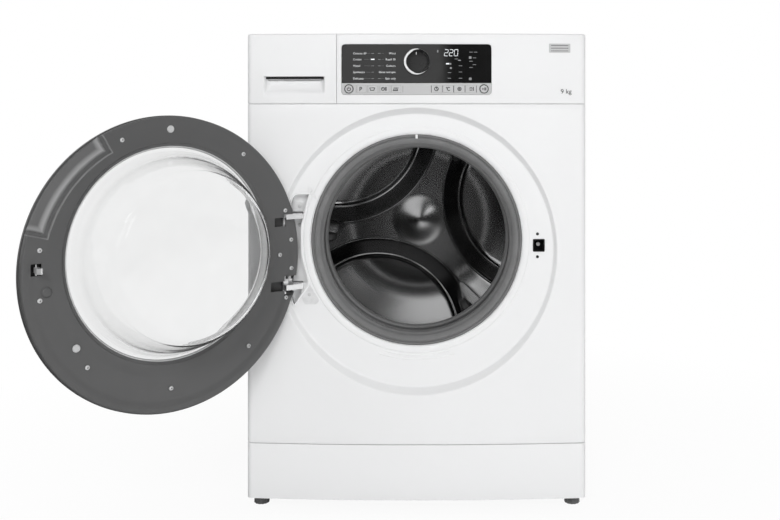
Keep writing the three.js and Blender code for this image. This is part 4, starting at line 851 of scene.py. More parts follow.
def bar(bm, x0, z0, x1, z1, width, proud=PROUD):
    """A printed stroke on the bowed front."""
    start, end = Vector((x0, z0)), Vector((x1, z1))
    along = (end - start).normalized() * width / 2
    side = Vector((-along.y, along.x))
    outline = [start - side - along, end - side + along, end + side + along, start + side - along]
    add(bm, bowed_plate(outline, proud, 0.12, every=9))


def hoop(bm, x, z, radius, width, proud, start=0, end=360):
    """A printed ring or arc."""
    inner, outer = radius - width / 2, radius + width / 2
    section = [(inner, -proud), (outer, -proud), (outer, 0.12 - proud), (inner, 0.12 - proud)]
    ring = swept(section, x, z, start, end - start, max(6, int((end - start) / 12)), True)
    bmesh.ops.holes_fill(ring, edges=ring.edges[:])
    for vertex in ring.verts:
        vertex.co.y += bow(vertex.co.x)
    outward(ring)
    add(bm, ring)


# The small symbol on each key: bars as (x0, z0, x1, z1, width) from the key's middle and
# hoops as (x, z, radius, width, first and last angle).
KEY_BARS = {
    "power_key": [(0, 0.6, 0, 3.4, 1.35)],
    "start_key": [*((0.75 * abs(z) - 3, z, -0.9 - 0.9 * abs(z), z, 1.1) for z in (-1.3, 0, 1.3)),
                  (1.3, -2, 1.3, 2, 1.35), (3.2, -2, 3.2, 2, 1.35)],
    "option_key_1": [(-1.6, -3, -1.6, 3, 1.35), (-1.6, 3, -0.2, 3, 1.35),
                     (-1.6, -0.4, -0.2, -0.4, 1.35)],
    "option_key_2": [(-4.5, 1.6, -3, -2.4, 1.35), (-3, -2.4, 2.6, -2.4, 1.35),
                     (2.6, -2.4, 4.2, 1.6, 1.35)],
    "option_key_3": [(-1.8, 0, -1.8, 1.7, 1.08), (2.4, -2.6, 2.4, 2.6, 1.35),
                     (4.2, -2.6, 4.2, 2.6, 1.35)],
    "option_key_4": [*((x, -2.4, x + 1.4, 2.2, 1.08) for x in (-3.4, -1.2, 1, 3.2)),
                     (-4, -2.9, 4, -2.9, 1.35)],
    "option_key_5": [(0, 0, 0, 2.2, 1.08), (0, 0, 1.6, -0.8, 1.08)],
    "option_key_8": [*((0.3 * abs(z) - 2.6, z, 3 - 0.5 * abs(z), z, 1.08) for z in (-2.4, 0, 2.4)),
                     (4.2, -2.8, 4.2, 2.8, 1.35)],
    }
KEY_HOOPS = {
    "power_key": [(0, 0, 7.2, 1.4), (0, -0.3, 3, 1.35, 125, 415)],
    "start_key": [(0, 0, 7.2, 1.4)],
    "option_key_1": [(-0.2, 1.3, 1.8, 1.35, -90, 90)],
    "option_key_2": [(x, 0.9, 1.1, 1.08, 20, 160) for x in (-2.4, 0, 2.4)],
    "option_key_3": [(-1.8, 0, 2.6, 1.35)],
    "option_key_5": [(0, 0, 3.3, 1.35)],
    "option_key_6": [(-2.4, 2.2, 0.8, 0.81), (1.6, 0, 2.8, 1.35, 50, 310)],
    "option_key_7": [(0, 0, 2.9, 1.35), (0, 0, 1, 1.08)],
    }


def key_mark(name, x):
    bm = bmesh.new()
    for x0, z0, x1, z1, width in KEY_BARS.get(name, ()):
        bar(bm, x + x0, KEY_Z + z0, x + x1, KEY_Z + z1, width, 0.45)
    for dx, dz, radius, width, *arc in KEY_HOOPS.get(name, ()):
        hoop(bm, x + dx, KEY_Z + dz, radius, width, 0.45, *arc)
    return bm


def make_knob():
    skirt = spun([(0, -311.6), (22, -311.6), (23, -313), (23, -324.4), (22.6, -326.4),
                  (21.7, -327.6), (20.4, -328.2), (19.3, -327.7), (18.7, -326.6), (18.4, -325.6),
                  (15, -325.3), (8, -325.1), (0, -325)], 0, KNOB_Z, 96)
    piece("knob_body", skirt, KNOB_BLACK, "knob", ["program_knob"], 40)

    # The pale band on the knob's rim is a painted highlight: a crescent whose inner edge is off
    # centre, so it fades at the upper right.
    def crescent(angle, t, lift):
        past = (angle - radians(76)) % tau
        width = 5 * min(1, past / 0.9) ** 0.6 * ease(-past, -4.45, -2.6)
        rounding = 3.2 * sin(pi * min(1, t * 0.62 + 0.12)) * lift
        return circle(22.95 - (width + 0.04) * t, -325.2 - rounding, KNOB_Z)(angle)

    crests = ((0.06, 0.5), (0.2, 0.95), (0.45, 1.03), (0.75, 1.02), (1, 0.95))
    painted_highlight_band = turned(120, [circle(22.9, -324.6, KNOB_Z), *each(crescent, crests)])[0]
    face_towards(painted_highlight_band)
    piece("knob_highlight_band", painted_highlight_band, CHROME_WHITE, "knob", crease=60)

    pointer = bmesh.new()
    rounded_block(pointer, (-0.6, -325.6, 806.5), (0.6, -325, 811.5), 0.25)
    piece("knob_pointer", pointer, PRINT_WHITE, "knob")


def lettering(words, x, z, size, align="LEFT"):
    """Raised print on the bowed front."""
    curve = bpy.data.curves.new("print", "FONT")
    curve.body, curve.size, curve.align_x = words, size, align
    curve.extrude, curve.resolution_u = 0.05, 3
    text = bpy.data.objects.new("print", curve)
    scene.collection.objects.link(text)
    bm = settled(text)
    bpy.data.objects.remove(text)
    bpy.data.curves.remove(curve)
    bmesh.ops.rotate(bm, verts=bm.verts, matrix=Matrix.Rotation(radians(90), 3, "X"))
    bmesh.ops.translate(bm, verts=bm.verts, vec=(x, 0, z))
    for corner in bm.verts:
        corner.co.y += bow(corner.co.x) - PROUD
    return bm


SEGMENTS = {"0": "abcdef", "2": "abged"}


def digit(bm, sign, x, z):
    """A seven-segment figure with its lower left corner at (x, z)."""
    wide, high, slant = 6, 11, 0.08
    middle = high / 2
    ends = {"a": (0, high, wide, high), "g": (0, middle, wide, middle), "d": (0, 0, wide, 0),
            "f": (0, middle, 0, high), "b": (wide, middle, wide, high),
            "e": (0, 0, 0, middle), "c": (wide, 0, wide, middle)}
    for segment in SEGMENTS[sign]:
        x0, z0, x1, z1 = ends[segment]
        way = Vector((x1 - x0, z1 - z0)).normalized() * 0.75
        bar(bm, x + x0 + slant * z0 + way.x, z + z0 + way.y,
            x + x1 + slant * z1 - way.x, z + z1 - way.y, 0.8)


LEFT_WORDS = ["Cottons 60", "Cotton", "Mixed", "Synthetics", "Delicates"]
RIGHT_WORDS = ["Wool", "Rapid 30", "Colours", "Rinse and spin", "Spin only"]
ROWS = [808.2, 797.6, 786.3, 775.2, 764]


def make_prints():
    words, dashes, lights, glows, lines = (bmesh.new() for _ in range(5))
    for row, left, right in zip(ROWS, LEFT_WORDS, RIGHT_WORDS):
        add(words, lettering(left, -111.5, row, 5))
        add(words, lettering(right, -36.6, row, 5, "RIGHT"))
        for x0, x1, width in ((-78.8, -75.2, 1), (-67.2, -63.6, 1), (-92, -81, 0.3),
                              (-61.5, -57.5, 0.3)):
            if (row, x0) != (ROWS[1], -78.8):  # a light stands there instead
                bar(dashes, x0, row + 1.6, x1, row + 1.6, width)
    for x, z in ((70, 800), (77.5, 788), (77.5, 777), (77.5, 766), (58, 776), (58, 766),
                 (96, 812), (96, 796), (96, 785), (102, 802), (102, 790), (104, 812)):
        bar(dashes, x - 2.4, z, x + 2.4, z, 1.1)
    piece("program_words", words, LABEL_PRINT, "cabinet")
    piece("program_dashes", dashes, FAINT_PRINT, "cabinet")

    bar(lights, -79.2, ROWS[1] + 1.7, -74.8, ROWS[1] + 1.7, 1.9, 0.45)
    for sign, x in (("2", 49), ("2", 57.6), ("0", 66.2)):
        digit(lights, sign, x, 805.4)
    bar(lights, 53.2, 791.6, 56.4, 791.6, 2.3, 0.45)
    piece("lit_figures", lights, LIT, "cabinet")
    for x, z, wide, high in ((59.8, 791.4, 3, 3), (60.4, 784, 3.6, 3.4),
                             (75.5, 797.6, 5.2, 1.8), (94.6, 802.5, 4.6, 4.4),
                             (94.6, 765, 4.6, 4.4), (37.4, 813.6, 2.4, 4.6)):
        add(glows, bowed_plate(rounded_outline(x - wide / 2, x + wide / 2, z - high / 2,
                                               z + high / 2, 1), PROUD, 0.1))
    piece("dim_figures", glows, DIM_PRINT, "cabinet")

    # A plain badge and the load figure on the white moulding.
    badge = bowed_plate(rounded_outline(234, 272, 811.5, 827.5, 1.5), 0.7, 1, 0.4)
    piece("plain_badge", badge, BADGE, "cabinet")
    for z in (814.6, 819.4, 824.2):
        bar(lines, 238, z, 268, z, 0.9, 0.85)
    piece("badge_lines", lines, PRINT_GREY, "cabinet")
    load = lettering("9 kg", 254.6, 739.2, 11.6)
    piece("load_figure", load, PRINT_GREY, "cabinet")


# ---- Tub, gasket and drum --------------------------------------------------
def make_gasket():
    line = soften([(186.8, -290.6), (186.6, -294.8), (183.4, -295.4), (182.6, -292.6),
                   (181.4, -292.2), (180.6, -294.6), (176, -294.9), (171, -291.4),
                   (169.4, -287.6), (165.8, -284), (165.4, -277), (170.5, -271),
                   (184, -268.5), (187.5, -262), (187.5, -250.5), (182, -243.8),
                   (170.6, -239.4), (167.4, -243.6), (163.6, -242.6), (162, -238),
                   (162.2, -231), (164, -229), (166.4, -232), (167.4, -238),
                   (173, -236.6), (185, -240.6), (191.2, -249.6), (191.2, -264),
                   (186, -271.6), (174.4, -274.6), (169.8, -278.6), (169.8, -281.8),
                   (174.6, -287.6), (180, -290.4)],
                  2)
    tube = spun(line, 0, PORTHOLE_Z, 192)
    piece("gasket_bellows", tube, RUBBER, "cabinet", ["door_gasket"], 40)

    clamp = spun([(187.2, -294.6), (188.4, -295.2), (189, -294.4), (188.6, -293),
                  (187.2, -293)], 0, PORTHOLE_Z, 192)
    piece("gasket_clamp", clamp, ZINC, "cabinet")

    tab = bmesh.new()
    rounded_block(tab, (-2, -295.8, 659.6), (2, -293.4, 666.6), 0.8)
    piece("gasket_mark", tab, MOULDING, "cabinet")


def bent(value, low, high, soft):
    """A straight slope from 0 at low to 1 at high, with its two bends rounded."""
    def hinge(t):
        if t <= -soft:
            return 0
        return t if t >= soft else (t + soft) ** 2 / (4 * soft)
    return (hinge(value - low) - hinge(value - high)) / (high - low)


PETAL_MIDDLE = 262  # radius on which the three petals' arcs are centred
PETAL_EDGES = (206, 171.5)  # radii of the arcs along which a petal slopes


def petal_middle(k):
    """The angle and the (x, height) of the middle of a petal's arcs."""
    turn = radians(10 + 120 * k)
    return turn, polar(PETAL_MIDDLE, turn, 0)


def petal_depth(x, z):
    """How far the drum's pressed back is sunk at a place across it."""
    depth = 0
    for k in range(3):
        away = (Vector((x, z)) - petal_middle(k)[1]).length
        slope = 11 * bent(-away, -206.5, -171, 2.2) + 2 * bent(-away, -171, -166, 1.5)
        depth = max(depth, slope)
    radius = hypot(x, z)
    depth *= ease(-radius, -243, -230)
    rise = max(0, radius - 130)
    upturn = 0.0021 * rise**2 if rise < 50 else 5.25 + 0.21 * (rise - 50)
    return depth - upturn - 7 * ease(-radius, -58, 4)


def make_drum():
    def at(angle, radius):
        x, z = polar(radius, angle, 0)
        return (x, DRUM_BACK + petal_depth(x, z), PORTHOLE_Z + z)

    edge = petal_depth(246, 0)
    rim = soften([(246, edge), (249.2, edge - 1), (249.2, edge - 7)], 2.4, closed=False, steps=3)
    back, middle, _ = turned(240, [*each(at, ((3 + 243 * i / 88,) for i in range(89))),
                                   *(circle(radius, DRUM_BACK + lift) for radius, lift in rim[1:])])
    cap(back, middle)
    face_towards(back)
    piece("drum_back", back, DRUM_STEEL, "drum", ["drum"], 60)

    # Rounded ribs run along both edges of each petal's slope.
    def section(i, centre, way, arc):
        spot = centre + (arc + (i - 4) * 0.95) * way
        proud = 1.5 * (1 + cos(pi * (i - 4) / 4)) / 2
        return (spot.x, DRUM_BACK + petal_depth(spot.x, spot.y) - proud + 0.05,
                PORTHOLE_Z + spot.y)

    ribs = bmesh.new()
    for k in range(3):
        turn, centre = petal_middle(k)
        ways = [polar(1, turn + pi + radians(step * 0.75), 0) for step in range(-110, 111)]
        for arc in PETAL_EDGES:
            rib = lofted(9, each(section, [(centre, way, arc) for way in ways
                                           if (centre + arc * way).length < 236]))[0]
            face_towards(rib)
            add(ribs, rib)
    piece("drum_ribs", ribs, DRUM_STEEL, "drum", crease=60)

    wall = soften([(248.8, 71), (248.8, -210), (244, -219), (230, -221.4),
                   (180, -221.4), (176.3, -219.4), (176.3, -216), (178.2, -215.6),
                   (179.4, -218.9), (229.6, -220.2), (243, -217.8), (250, -209.4),
                   (250, 74), (248.8, 74)], 3, steps=3)
    piece("drum_wall", spun(wall, 0, PORTHOLE_Z, 240), DRUM_STEEL, "drum")
    for k in range(3):
        make_lifter(k)


def make_lifter(k):
    """A hollow paddle with rounded flanks and sloped ends."""
    turn = radians(63 + 120 * k)
    out, across = Vector((cos(turn), sin(turn))), Vector((-sin(turn), cos(turn)))
    front, back, count = -198, 52, 41

    def section(i, y):
        near = min(y - front, back - y)
        full = 0.12 + 0.88 * sqrt(max(0, 1 - (1 - min(1, near / 34)) ** 2))
        t = i / (count - 1) * 2 - 1
        side = t * (33 + 3 * full)
        s = abs(t)
        lift = (1 - ease(s, 0.18, 1)) * 0.94 + 0.06 * (1 - s * s)
        base = sqrt(DRUM_INSIDE**2 - side**2)
        radius = base + (LIFTER_CREST - base) * lift * full
        spot = out * radius + across * side * (0.62 + 0.38 * s)
        return (spot.x, y, PORTHOLE_Z + spot.y)

    ys = [front + (back - front) * (1 - cos(pi * i / 60)) / 2 for i in range(61)]
    paddle = lofted(count, each(section, zip(ys)))[0]
    give_thickness(paddle, 1.6, (-out.x, 0, -out.y))
    piece(f"lifter_{k + 1}_paddle", paddle, LIFTER_GREY, "drum",
          [f"lifter_{k + 1}"], 50)


# ---- Door, drawn closed ----------------------------------------------------
WINDOW_RADIUS = 172
RING_RADIUS = 239.9
BEZEL_RADIUS = 196
SHELL_RADIUS = 241


def deepest(x, z, grow=0):
    """The furthest forward that the door may reach beside its hinge, so that it can open."""
    if x < -215.5 and abs(z - DISH_Z) <= 71:
        return DOOR_FACE - 13.5 + grow
    return -302.04 - 0.839 * (x + 225) + grow


def grip_reach(x, z):
    """How far a place lies inside the finger grip's outline."""
    dz = z - DISH_Z
    radius, angle = hypot(x, dz), degrees(atan2(dz, x))
    side = min(angle - GRIP_START, GRIP_END - angle) * radians(1) * radius
    gap_in = radius - GRIP_RADIUS
    return min(side, gap_in) - 1.2 * max(0, 1 - abs(side - gap_in) / 7)


def grip_depth(x, z):
    """Depth of the finger grip in the door's inner face."""
    inside = grip_reach(x, z)
    if inside <= 0:
        return 0
    ledge = 3.8 * ease(inside, 0, 1.8)
    trough = inside - 7.6
    bowl = 8.4 * sqrt(max(0, 1 - max(0, 1 - max(0, trough) / 9.5) ** 2))
    return ledge + bowl


def make_door():
    make_door_ring()
    make_door_shell()
    make_door_glazing()
    make_door_fittings()


HINGE_SLOTS = [(-214, -191.5, 506, 521.5), (-250, -212, 496.5, 531.5),
               (-214, -184.5, 393, 410), (-250, -212, 384, 418.5)]
LATCH_SLOT = (209, 225, 461, 479)


def slot_prism(x0, x1, z0, z1):
    return prism(rounded_outline(x0, x1, z0, z1, 1.2, 2), -330, -280)


def round_over(distance, radius):
    """How far a rounded edge has fallen back at a distance in from its outside."""
    return radius * (1 - sqrt(max(0, 1 - max(0, 1 - distance / radius) ** 2)))


def make_door_ring():
    def ends(angle):
        return polar(WINDOW_RADIUS, angle, WINDOW_Z), polar(RING_RADIUS, angle, DOOR_Z)

    def face(angle, distance, from_rim=False):
        """A place on the ring's face, out from the window or in from the rim."""
        inner, outer = ends(angle)
        start, end = (outer, inner) if from_rim else (inner, outer)
        span = (outer - inner).length
        here = start.lerp(end, distance / span)
        from_window, to_rim = (here - inner).length, (here - outer).length
        lip = 1.5 * ease(-from_window, -7.4, -5.4) + round_over(from_window, 2.6) * 6 / 2.6
        dish = 2.2 * ease(span, 50, 86) * ease(from_window, 8, 30) * ease(to_rim, 8, 22)
        fall = lip + round_over(to_rim, 3.2) + dish + grip_depth(*here)
        return (here.x, max(DOOR_FACE - fall, deepest(*here, 2)), here.y)

    def between(angle, share):
        inner, outer = ends(angle)
        return face(angle, 8.6 + ((outer - inner).length - 12) * share)

    def throat(angle):
        x, z = ends(angle)[0]
        return (x, max(DOOR_FACE - 12, deepest(x, z, 2)), z)

    def rim_wall(angle, depth):
        x, z = ends(angle)[1]
        low = DOOR_FACE - max(depth, 3.2 + grip_depth(x, z))
        return (x, max(low, deepest(x, z, 2)), z)

    bm = turned(720, [
        throat, *each(face, zip((0, 0.25, 0.7, 1.3, 2, 2.8, 5.2, 6.3, 7.4, 8.6))),
        *each(between, ((k / 34,) for k in range(1, 35))),
        *each(face, ((distance, True) for distance in (2.4, 1.5, 0.8, 0.25, 0))),
        *each(rim_wall, zip((4.4, 7, 9.4, 10)))])[0]
    give_thickness(bm, 1.6, (0, 1, 0))
    bm = carve(bm, [slot_prism(*slot) for slot in [*HINGE_SLOTS, LATCH_SLOT]])
    piece("door_ring", bm, DOOR_FACE_PAINTED_HIGHLIGHTS, "door", ["door_inner_ring"])

    # A black cup behind the latch slot makes the opening read dark: painted shade.
    x0, x1, z0, z1 = LATCH_SLOT
    painted_shade_well = lined_pocket(rounded_outline(x0 - 0.6, x1 + 0.6, z0 - 0.6, z1 + 0.6, 1.2, 2),
                        [(-298.2, 0), (-303, 0.3), (-305.5, 0.8)])
    face_towards(painted_shade_well, (0, 1, 0))
    piece("latch_painted_shade_well", painted_shade_well, BLACK, "door")


def make_door_shell():
    """The outer moulding: rim, rounded edge, broad face and the bezel round the window."""
    def at(angle, t, depth, lift=0):
        inner, outer = polar(BEZEL_RADIUS, angle, WINDOW_Z), polar(SHELL_RADIUS, angle, DOOR_Z)
        here = outer.lerp(inner, t) + (outer - inner).normalized() * lift
        return (here.x, max(DOOR_FACE - depth, deepest(*here)), here.y)

    bm = turned(360, each(at, (
        (0, 10.3, -2), (0, 10.3, -0.6), (0, 10.7, -0.1), (0, 11.4), (0, 16), (0, 17.6, -0.4),
        (0, 19.2, -1.3), (0, 20.3, -2.8), (0, 20.9, -4.8), (0.25, 21.9), (0.5, 22.8), (0.75, 23.5),
        (0.9, 23.9), (1, 24, 1.4), (1, 23.6, 0.4), (1, 22.6), (1, 14), (1, 10.5))))[0]
    give_thickness(bm, 1.4)
    piece("door_shell", bm, SHELL_GREY, "door", ["door_outer_shell"])


def make_door_glazing():
    outer = [(178, -299.8), (171, -299.6), (167.5, -297.4), (163.5, -290), (159, -282.5),
             (157, -271), (154.6, -262.5), (147.4, -243), (137, -219.8), (131, -213),
             (118, -208), (80, -205.6), (30, -204.8), (0, -204.6)]
    inner = [(0, -208.4), (30, -208.6), (80, -209.4), (116, -211.6), (127.6, -216.2),
             (133.6, -222), (143.6, -244.6), (150.8, -264), (153.2, -272.6), (155.2, -283.8),
             (159.8, -292.4), (164.4, -300.6), (169, -303.4), (178, -303.6)]
    skins = [p for skin in (outer, inner) for p in soften(skin, 5, closed=False, steps=3)]
    piece("glass_bowl", spun(skins, 0, WINDOW_Z, 192), BOWL_GLASS, "door",
          ["door_glass"], 50)

    edge, rim = 195.4, DOOR_FACE - 19
    dome = [(edge, rim), (edge - 1.2, rim - 2.4), (edge - 8, rim - 9), (edge - 24, rim - 18.7),
            (edge - 60, rim - 23.9), (90, rim - 25.4), (40, rim - 26), (0, rim - 26)]
    shade = [(0, rim - 23.6), (40, rim - 23.6), (90, rim - 23), (edge - 61, rim - 21.5),
             (edge - 25.5, rim - 16.4), (edge - 10, rim - 7.4), (edge - 3.2, rim - 0.6),
             (edge - 2.4, rim + 0.6)]
    skins = [p for skin in (dome, shade) for p in soften(skin, 9, closed=False)]
    cover = spun(skins, 0, WINDOW_Z, 192)
    for corner in cover.verts:
        corner.co.y = max(corner.co.y, deepest(corner.co.x, corner.co.z, 0.2))
    piece("window_cover", cover, COVER_CLEAR, "door", ["door_window"], 50)

    seat = spun([(172.4, -298.4), (173.4, -298), (174.2, -299), (173.6, -301.9),
                 (171.6, -303.6), (170.6, -302.6)], 0, WINDOW_Z, 192)
    piece("glass_seat", seat, PRINT_WHITE, "door")


DOOR_SCREWS = [(84.5, 661.3), (-130, 634.6), (-212.9, 534), (-225, 482.1), (-202.2, 457.1),
               (-225.4, 432), (-214.5, 381.5), (-140, 307.1), (2, 258.6), (139.7, 313.5),
               (211.5, 423.8), (211.8, 498.6)]


def make_door_fittings():
    heads, painted_recess_shade, pads = (bmesh.new() for _ in range(3))
    for number, (x, z) in enumerate(DOOR_SCREWS):
        add(heads, spun([(0, -295.2), (1.8, -295.3), (3, -295.7), (3.6, -296.4), (3.7, -297.4),
                         (0, -297.4)], x, z, 24))
        # The cross on each head is a thin dark plate: painted shade for its recess.
        turn = Matrix.Rotation(radians(37 * number), 4, "Y")
        for half, rise in ((1.45, 0.35), (0.35, 1.45)):
            block(painted_recess_shade, (x - half, -295.5, z - rise), (x + half, -295.1, z + rise), turn)
    piece("door_screws", heads, SCREW, "door")
    piece("screw_recess_painted_shade", painted_recess_shade, PRINT_GREY, "door")

    for x, z in ((3.2, 677.9), (157, 345.4)):
        add(pads, spun([(0, -294.9), (3.4, -294.9), (5.2, -295.2), (6, -296), (6.1, -297.2),
                        (0, -297.2)], x, z, 36))
    piece("door_buffers", pads, BADGE, "door")
    stop = spun([(0, -294.9), (4.6, -294.9), (6.4, -295.2), (7.4, -296), (7.8, -296.8),
                 (8.6, -297.2), (0, -297.2)], 201.7, 435.3, 48)
    piece("door_stop", stop, DOOR_GREY, "door")

    hook = plan_prism(soften([(213, 302), (219.4, 302), (219.4, 290.6), (217.2, 290.2),
                              (217.2, 286.6), (221.6, 285.8), (221, 281), (216.6, 277.8),
                              (213, 279.4)], 0.9, steps=3), 465.6, 474.4)
    rod(hook, (217, -298, 461.8), (217, -298, 478.2), 1.1)
    piece("latch_claw", hook, CHROME, "latch", ["latch_hook"], 40)
    make_hinge()


EARS = (DISH_Z - 62, DISH_Z + 62)  # heights of the two pairs of ears


def ear_slots(x0, x1, half, radius, steps, y0, y1):
    return [prism(rounded_outline(x0, x1, z - half, z + half, radius, steps), y0, y1)
            for z in EARS]


def hinge_rod(bm, z0, z1, radius, steps=32):
    rod(bm, (HINGE.x, HINGE.y, z0), (HINGE.x, HINGE.y, z1), radius, steps)


def make_hinge():
    # A white cover fills the pocket behind the ears; the bracket's plates lie on it.
    cover = carve(prism(shrunk(pocket_outline(), 1.6), -280, -278),
                  ear_slots(-231, -203, 5.5, 1, 2, -290, -270))
    piece("hinge_cover", cover, POCKET_WHITE, "cabinet")

    plates, bolts, pin, arm = (bmesh.new() for _ in range(4))
    for radius, y0, y1, outline in (
        (3, -281.6, -279.8, [(-222, 547), (-199, 547), (-202.5, 529.5), (-222, 529.5)]),
        (4, -257.8, -255.4, [(-219, 551), (-197, 551), (-201, 501), (-201, 411),
                             (-179, 365), (-211, 365), (-217, 411), (-219, 501)]),
        (3.5, -295, -293.6, [(-204.5, 404), (-191, 404), (-172.5, 372), (-178, 365.5),
                             (-199, 365.5), (-204.5, 378)])):
        add(plates, prism(soften(outline, radius), y0, y1))
    ear = soften([(-229.8, 306.6), (-229.6, 300), (-226, 278), (-217, 258.6),
                  (-202.4, 258.6), (-205.4, 281.6), (-217.8, 305), (-225, 309.2)], 3)
    for z in EARS:
        pair = plan_prism(ear, z - 3.8, z - 1.5)
        add(pair, plan_prism(ear, z + 1.5, z + 3.8))
        rim = [e for e in pair.edges if abs(e.verts[0].co.z - e.verts[1].co.z) < 1e-4]
        round_edges(pair, rim, 0.5, 2)
        add(plates, pair)
    piece("hinge_plate", plates, ZINC, "cabinet", ["hinge_bracket"])

    for x, z, back in ((-209, 538.5, -281.5), (-209, 505, -280), (-190, 383, -294.2)):
        add(bolts, spun([(0, back - 1.6), (2, back - 1.5), (3.2, back - 1), (3.5, back - 0.4),
                         (3.6, back + 0.2), (0, back + 0.2)], x, z, 24))
    piece("hinge_bolts", bolts, SCREW, "cabinet")

    hinge_rod(pin, 392.6, 529.4, 2.9)
    for z in (392.4, 528.6):
        hinge_rod(pin, z, z + 1, 4.4)
    piece("hinge_spindle", pin, CHROME, "cabinet", ["hinge_pin"])

    rounded_block(arm, (-216.8, -302.4, 386.6), (-185.2, -300, 535.4), 0.7)
    for z in (DISH_Z - 52.7, DISH_Z + 52.7):
        hinge_rod(arm, z - 4.9, z + 4.9, 5.9, 36)
        rounded_block(arm, (-226, -302.6, z - 4.9), (-212, -299.9, z + 4.9), 0.6)
    arm = carve(arm, ear_slots(-245, -210.6, 4.4, 0.4, 1, -320, -290)
                + [slot_prism(x0 + 3, x1, z0, z1) for x0, x1, z0, z1 in HINGE_SLOTS[::2]])
    piece("hinge_leaf", arm, CHROME, "door", ["hinge_arm"])


# ---- Sides, back, top and feet ---------------------------------------------
def make_cabinet_sides():
    ys = (-277.4, -276.9, -275.8, -262, -250, -247, -244, 0, 264, 267, 270, 284, 296.8, 298.2,
          298.7)
    zs = (23, 24.2, 60, 96, 99, 102, 742, 745, 748, 790, 813.6, 814.7)

    def panel(i, side, z):
        y = ys[i]
        inside = min(ease(y, -250, -244) * (1 - ease(y, 264, 270)),
                     ease(z, 96, 102) * (1 - ease(z, 742, 748)))
        turn = 1.3 * (1 - min(1, min(y - ys[0], ys[-1] - y) / 1.4)) ** 2
        return (side * (300 - 1.6 * inside - turn), y, z)

    for side, name in ((-1, "left"), (1, "right")):
        bm = lofted(len(ys), each(panel, [(side, z) for z in zs]))[0]
        give_thickness(bm, 0.8, (side, 0, 0))
        piece(f"{name}_side", bm, ENAMEL, "cabinet", [f"{name}_side_panel"], 40)


def make_back():
    def plain(angle, t):
        edge = square_ray(angle, PORTHOLE_Z, 299, 23, 814.7)
        spot = edge.lerp(polar(PLATE_RADIUS, angle), t)
        return (spot.x, 300, spot.y)

    bm = bmesh.new()
    ring = start_ring(bm, 192, lambda angle: plain(angle, 0))
    for x, z in ((299, 814.7), (-299, 814.7), (299, 23), (-299, 23)):
        nearest = min(ring, key=lambda v: (v.co.x - x) ** 2 + (v.co.z - z) ** 2)
        nearest.co = (x, 300, z)
    pressed = ((203.5, 299.6), (201.5, 298), (200, 294.4), (198, 292.9), (195, 292.6),
               (150, 292.6), (148.6, 293.4), (146, 293.4), (144.6, 292.6), (60, 292.6),
               (58, 293.6), (20, 293.6))
    cap(bm, loft(bm, ring, [*each(plain, zip((0.1, 0.5, 1))),
                            *(circle(*step) for step in pressed)]))
    give_thickness(bm, 0.9, (0, 1, 0))
    piece("back_sheet", bm, ENAMEL, "cabinet", ["rear_panel"])

    caps, screws, vents = (bmesh.new() for _ in range(3))
    for x, z in ((-188, 232), (188, 232), (-188, 728), (188, 700)):
        add(caps, spun([(0, 303.4), (13, 303.2), (16, 302.2), (17.4, 300), (0, 300)],
                       x, z, 40))
        for turn in (45, 135):
            block(caps, (x - 9, 303, z - 0.9), (x + 9, 304, z + 0.9),
                  Matrix.Rotation(radians(turn), 4, "Y"))
    piece("transport_caps", caps, PLAIN, "cabinet")

    for x, z in [*(polar(216, radians(15 + 30 * step)) for step in range(12)),
                 *((x, z) for x in (-286, 286) for z in (44, 200, 360, 520, 680, 796))]:
        add(screws, spun([(0, 302.4), (2.88, 302.4), (3.6, 301.8), (4, 300), (0, 300)], x, z, 32))
    piece("back_screws", screws, SCREW, "cabinet")

    for row in range(6):
        rounded_block(vents, (-250, 299.9, 752 + row * 7), (-170, 301.6, 755 + row * 7), 0.7)
    piece("back_louvres", vents, ENAMEL, "cabinet")


def upright_solid(outline, levels):
    """A closed shape that follows an outline from above through levels of (height, inset)."""
    bm, low, high = stack(outline, levels, upright=True)
    cap(bm, high)
    cap(bm, low)
    outward(bm)
    return bm


def make_worktop():
    board = upright_solid(rounded_outline(-300, 300, -277.7, 300, 4), [
        (815, 3), (815, 0.8), (815.8, 0), (836.4, 0), (836.8, 0.5), (837.6, 0.5),
        (838, 0), (842.4, 0), (843.6, 0.5), (844.6, 1.5), (845, 3), (845, 3.6)])
    piece("worktop_board", board, LAMINATE, "cabinet", ["worktop"], 40)


def make_feet():
    for name, x, y in (("foot_front_left", -281, -255), ("foot_front_right", 281, -255),
                       ("foot_rear_left", -281, 255), ("foot_rear_right", 281, 255)):
        def at(angle, radius, z, x=x, y=y):
            return (x + radius * cos(angle), y + radius * sin(angle), z)

        outline = [at(tau * i / 48, 13.9 if i // 2 % 2 else 13.2, 0) for i in range(48)]
        pad = upright_solid(outline, [(0, 2.2), (0.4, 0.8), (1.4, 0), (8.6, 0.4), (10.2, 1.4),
                                      (10.9, 3.2)])
        piece(name + "_pad", pad, FOOT_GREY, name, [name])

        stem = turned(24, each(at, [(radius, 10.9 + turn * 1.6 + rise) for turn in range(27)
                                    for radius, rise in ((4.4, 0), (4.95, 0.8))]))[0]
        bmesh.ops.holes_fill(stem, edges=stem.edges[:])
        outward(stem)
        piece(name + "_stem", stem, SCREW, name, crease=40)


def make_inlet():
    valve = bmesh.new()
    rounded_block(valve, (188, 230.5, 724), (232, 268, 766), 3)
    thread = [p for turn in range(10)
              for p in ((12.6, 294 + turn * 1.8), (13.25, 294.9 + turn * 1.8))]
    for profile in ([(9, 268), (9, 313.8), (12.4, 313.8), (13, 312.8), (13, 292),
                     (17, 291.6), (17, 287), (13, 286.6), (13, 268)],
                    [(12, 293.6), *thread, (12, 312.2)]):
        add(valve, spun(profile, 210, 745, 48))
    piece("inlet_body", valve, PLAIN, "cabinet", ["inlet_valve"])


